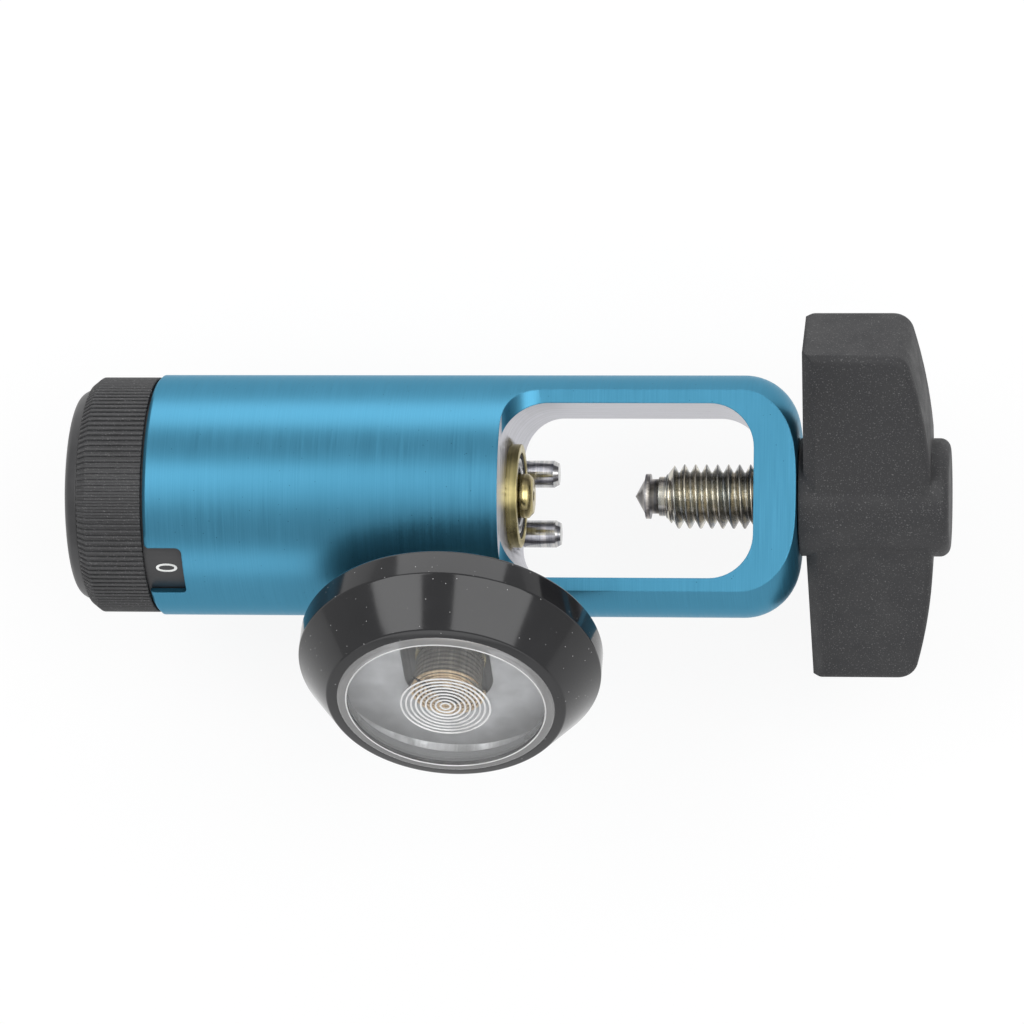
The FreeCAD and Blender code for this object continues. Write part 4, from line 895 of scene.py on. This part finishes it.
    def flat_mark(self, mark):
        """A number as a flat mesh, one unit wide and tall about its middle."""
        curve = bpy.data.curves.new("number", "FONT")
        curve.body = mark
        carrier = bpy.data.objects.new("number", curve)
        bpy.context.scene.collection.objects.link(carrier)
        shape = carrier.evaluated_get(bpy.context.evaluated_depsgraph_get())
        glyph = bpy.data.meshes.new_from_object(shape)
        bpy.data.objects.remove(carrier)
        for axis in (0, 1):
            places = [vertex.co[axis] for vertex in glyph.vertices]
            low, high = min(places), max(places)
            for vertex in glyph.vertices:
                vertex.co[axis] = (vertex.co[axis] - low) / (high - low) - 0.5
        return glyph


class RegulatorGauge(bpy.types.Operator):
    """Makes the contents gauge: boot, case, dial, coil, pointer and clear lens"""
    bl_idname = "regulator.gauge"
    bl_label = "Contents gauge"

    def execute(self, context):
        part = sizes().gauge
        boot = rounded([(24.6, 7), (24.6, 18.1), (27.3, 21.5), (31.2, 21.5), (37.6, 16.9), (37.9, 15.3),
                        (36.3, 15.3), (36.3, 16.97), (25.5, 18.03), (25.5, 7)],
                       {1: 0.8, 2: 0.7, 3: 0.6, 4: 0.5, 5: 0.2}, 10)
        settle(spun("gauge_boot_moulded", boot, "boot_rubber", 192, GAUGE_OUT, GAUGE_FOOT, 40), "root",
               "boot_rubber", "gauge_boot")
        case = solid_copy("gauge_case", "gauge_case_drawn", "case_steel")
        self.tuck_rim(case.data)
        settle(case, "root", "case_steel", "gauge_case")
        dress("gauge_dial", "gauge_dial_stamped", "dial_white")
        self.mould_lens()
        self.mould_rings(part)
        # The helical tube takes the bronze darkened as painted shade; the flat face keeps the plain bronze.
        self.wind_coil("pressure_coil", {
            "Turns": part.coil_turns, "Outer Radius": part.coil_radius, "Inner Radius": part.coil_radius,
            "Height": part.coil_height, "Wire": part.coil_wire,
        }, 40, part.coil_foot, "coil_shade", "bourdon_coil")
        self.wind_coil("coil_face", {
            "Turns": part.coil_turns, "Outer Radius": part.face_radius, "Inner Radius": part.face_inner,
            "Height": 0.0, "Wire": part.coil_wire * 0.7,
        }, 48, part.face_station, "coil_bronze")
        dress("gauge_pointer", "gauge_pointer_stamped", "pointer_black", "pointer")
        dress("gauge_socket", "gauge_socket_turned", "socket_brass")
        return {"FINISHED"}

    def tuck_rim(self, mesh):
        """Draws the case's front rim in under the boot's cone."""
        front, wall, tucked, thinned = 35 * MM, 17.05 * MM, 16.5 * MM, 0.45
        for vertex in mesh.vertices:
            station, arm = gauge_spot(vertex.co)
            if station > front and arm.length > wall:
                radius = tucked + (arm.length - wall) * thinned
                vertex.co = GAUGE_FOOT + GAUGE_OUT * station + arm.normalized() * radius

    def mould_lens(self):
        """Turns the clear lens, with painted light on it: an edge painted pale, and a bead painted white as
        a highlight where the edge begins.
        """
        front, bead = 38.1, 14.1
        lens = rounded([(36.8, 0), (36.8, 14.3), (35, 14.3), (35, 16.3), (36.1, 16.3), (36.1, 15.5),
                        (front, 15.5), (front, bead + 0.1), (front + 0.12, bead), (front, bead - 0.1),
                        (front, 0)], {6: 0.6, 3: 0.2, 4: 0.2, 1: 0.4}, 8)
        lens = spun("gauge_lens_moulded", lens, "lens_clear", 160, GAUGE_OUT, GAUGE_FOOT, 40)
        for name in ("lens_edge", "ring_white"):
            lens.data.materials.append(finish(name))
        # Faces of the bead take the white painted highlight, and the rest of the rim takes the pale edge
        # that is painted light.
        for face in lens.data.polygons:
            station, arm = gauge_spot(face.center)
            if station > front * MM and arm.length > (bead - 0.2) * MM:
                face.material_index = 2
            elif arm.length > bead * MM:
                face.material_index = 1
        settle(lens, "root", "lens_clear", "gauge_lens")

    def mould_rings(self, part):
        """Lays the moulded rings round the middle of the lens, in an opaque white that is a painted
        highlight.
        """
        tree = Nodes("lens_rings", {"Count": part.ring_count, "First": part.ring_first,
                                    "Step": part.ring_step, "Wire": part.ring_wire})
        given = tree.given
        points = tree.node("GeometryNodePoints", {"Count": given["Count"]})
        index = tree.node("GeometryNodeInputIndex").outputs[0]
        grown = tree.add(given["First"], tree.multiply(index, given["Step"]))
        circle = tree.node("GeometryNodeCurvePrimitiveCircle", {"Resolution": 96, "Radius": 1.0})
        rings = tree.node("GeometryNodeInstanceOnPoints", {
            "Points": points.outputs[0], "Instance": circle.outputs[0],
            "Scale": tree.vector(grown, grown, 1.0)})
        flat = tree.node("GeometryNodeRealizeInstances", {"Geometry": rings.outputs[0]})
        tubes = tree.tube(flat.outputs[0], given["Wire"], 8)
        item = tree.make("lens_rings", tubes, "ring_white", on_gauge(part.ring_station), 60)
        settle(item, "root", "lens_clear")

    def wind_coil(self, name, spiral, points, station, material, *nodes):
        """Winds a spiral of bronze tube, with its foot at a station of the gauge's axis."""
        tree = Nodes(name, spiral)
        given = tree.given
        path = tree.node("GeometryNodeCurveSpiral", {
            "Resolution": points, "Rotations": given["Turns"], "Start Radius": given["Outer Radius"],
            "End Radius": given["Inner Radius"], "Height": given["Height"]})
        tube = tree.tube(path.outputs[0], given["Wire"], 10, True)
        settle(tree.make(name, tube, material, on_gauge(station), 60), "root", "coil_bronze", *nodes)


class RegulatorFittings(bpy.types.Operator):
    """Dresses the outlet barb and the relief valve under the bar"""
    bl_idname = "regulator.fittings"
    bl_label = "Outlet and relief valve"

    def execute(self, context):
        dress("outlet_barb", "outlet_barb_turned", "barb_brass")
        dress("relief_cap", "relief_cap_turned", "relief_brass")
        return {"FINISHED"}


class RegulatorInside(bpy.types.Operator):
    """Gives the pieces inside the bar their metals, rubbers and plastics"""
    bl_idname = "regulator.inside"
    bl_label = "Pieces inside"

    def execute(self, context):
        slots = {piece["node"]: piece["material_slot"] for piece in frame["record"]["subparts"]}
        slides = {joint["name"]: joint for joint in frame["record"]["behaviour"]["joints"]}
        self.wind_spring("piston_spring", slides["piston_travel"], slots["piston_spring"])
        self.wind_spring("relief_spring", slides["relief_lift"], slots["relief_spring"])
        for name, item in frame["nodes"].items():
            if item.hide_render:
                continue
            material = finish(slots[name])
            for place in item.material_slots:
                place.material = material
            if not item.material_slots:
                item.data.materials.append(material)
        return {"FINISHED"}

    def wind_spring(self, name, slide, slot):
        """Winds a spring shorter by the stroke of the piece that slides against it."""
        axis = Vector(slide["axis"])
        spring = solid_copy(name, name + "_wound", slot)
        stations = [vertex.co.dot(axis) for vertex in spring.data.vertices]
        seat = max(stations)
        share = slide["range_m"][1] / (seat - min(stations))
        for vertex, station in zip(spring.data.vertices, stations):
            vertex.co += axis * (seat - station) * share
        settle(spring, "root", slot, name)


class RegulatorStage(bpy.types.Operator):
    """Lays the floor, sets the lights and places the camera"""
    bl_idname = "regulator.stage"
    bl_label = "Stage"

    def execute(self, context):
        part = sizes().stage
        origin = (0, 0, 0)
        self.lay_floor(part)
        self.hang_light("key_light", (0.02, 0.70, 0.14), (0.02, 0, 0), 0.9, 0.42, part.key)
        self.hang_light("fill_light", (-0.05, -0.70, 0.22), origin, 0.75, 0.36, part.fill)
        self.hang_light("left_soft_box", (-0.373, 0.107, 0.654), origin, 0.5, 0.42, part.left_box)
        self.hang_light("right_soft_box", (0.377, 0.002, 0.6715), origin, 0.54, 0.7, part.right_box)
        self.set_world(part)
        self.place_camera(part)
        context.scene.view_settings.view_transform = "Standard"
        return {"FINISHED"}

    def lay_floor(self, part):
        """Lays a wide sheet of paper just under the lowest piece."""
        width, gap, fibre_shade = 6, 0.4 * MM, 0.985
        bpy.ops.mesh.primitive_plane_add(size=width, location=(0, 0, CAD_BOX[0].z - gap))
        floor = bpy.context.object
        floor.name = "floor"
        colour = tuple(part.floor_colour)
        paper = Finish("floor_paper", colour, 0.9)
        shaded = tuple(c * fibre_shade for c in colour)
        paper.set("Base Color", paper.ramp(paper.noise(400.0, 2.0, 0.5), [(0.0, shaded), (1.0, colour)]))
        self.whiten(paper, part.whiteness)
        floor.data.materials.append(paper.material)

    def whiten(self, paper, whiteness):
        """Lifts the floor to white where it is seen or mirrored, with a faint shadow left."""
        path = paper.node("ShaderNodeLightPath").outputs
        mirrored = paper.math("MAXIMUM", path["Is Glossy Ray"], path["Is Transmission Ray"])
        seen = paper.math("MAXIMUM", path["Is Camera Ray"], mirrored)
        share = paper.multiply(seen, whiteness)
        white = paper.node("ShaderNodeEmission").outputs[0]
        mixed = paper.node("ShaderNodeMixShader", {0: share, 1: paper.shader.outputs[0], 2: white})
        paper.feed(paper.surface, mixed.outputs[0])

    def hang_light(self, name, where, towards, wide, tall, power):
        lamp = bpy.data.lights.new(name, "AREA")
        lamp.shape = "RECTANGLE"
        lamp.size, lamp.size_y = wide, tall
        lamp.energy = power
        item = bpy.data.objects.new(name, lamp)
        bpy.context.scene.collection.objects.link(item)
        item.location = where
        item.rotation_mode = "QUATERNION"
        item.rotation_quaternion = (Vector(towards) - Vector(where)).to_track_quat("-Z", "Y")

    def set_world(self, part):
        """Lights the studio evenly, before a background that the camera sees as white."""
        world = bpy.data.worlds.new("studio")
        bpy.context.scene.world = world
        world.use_nodes = True
        studio = Tree(world.node_tree)
        white = (1, 1, 1, 1)
        light = world.node_tree.nodes["Background"]
        studio.feed(light.inputs["Color"], white)
        studio.feed(light.inputs["Strength"], part.studio)
        seen = studio.node("ShaderNodeBackground", {"Color": white, "Strength": 1.0})
        path = studio.node("ShaderNodeLightPath").outputs
        mixed = studio.node("ShaderNodeMixShader", {
            0: path["Is Camera Ray"], 1: light.outputs[0], 2: seen.outputs[0]})
        studio.feed(world.node_tree.nodes["World Output"].inputs["Surface"], mixed.outputs[0])

    def place_camera(self, part):
        """Stands the camera where the photograph was taken from, by its right, up and back axes."""
        stand = Vector((0.09296, -0.0691, 0.7914))
        right = Vector((0.99286, 0.01380, -0.11850))
        back = Vector((0.11804, -0.08347, 0.98949))
        up = back.cross(right).normalized()
        right = up.cross(back.normalized())
        data = bpy.data.cameras.new("camera")
        data.lens = part.lens
        data.sensor_width = 36
        data.clip_start, data.clip_end = 0.05, 20
        item = bpy.data.objects.new("camera", data)
        bpy.context.scene.collection.objects.link(item)
        turn = Matrix((right, up, back.normalized())).transposed().to_4x4()
        item.matrix_world = Matrix.Translation(stand) @ turn
        bpy.context.scene.camera = item


OPERATORS = (
    RegulatorBody, RegulatorInlet, RegulatorScrew, RegulatorHandle, RegulatorKnob, RegulatorGauge,
    RegulatorFittings, RegulatorInside, RegulatorStage,
)


class RegulatorPanel(bpy.types.Panel):
    """Lists the steps that dress the regulator"""
    bl_idname = "VIEW3D_PT_regulator"
    bl_label = "Oxygen regulator"
    bl_space_type = "VIEW_3D"
    bl_region_type = "UI"
    bl_category = "Regulator"

    def draw(self, context):
        for step in OPERATORS:
            self.layout.operator(step.bl_idname)


GROUPS = (BodySizes, ThreadSizes, KnobSizes, GaugeSizes, StageSizes, RegulatorSizes)


def register():
    for group in GROUPS + OPERATORS + (RegulatorPanel,):
        bpy.utils.register_class(group)
    bpy.types.Scene.regulator_sizes = PointerProperty(type=RegulatorSizes)


def unregister():
    del bpy.types.Scene.regulator_sizes
    for group in reversed(GROUPS + OPERATORS + (RegulatorPanel,)):
        bpy.utils.unregister_class(group)


def main():
    register()
    for step in OPERATORS:
        group, name = step.bl_idname.split(".")
        getattr(getattr(bpy.ops, group), name)()


if __name__ == "__main__":
    main()
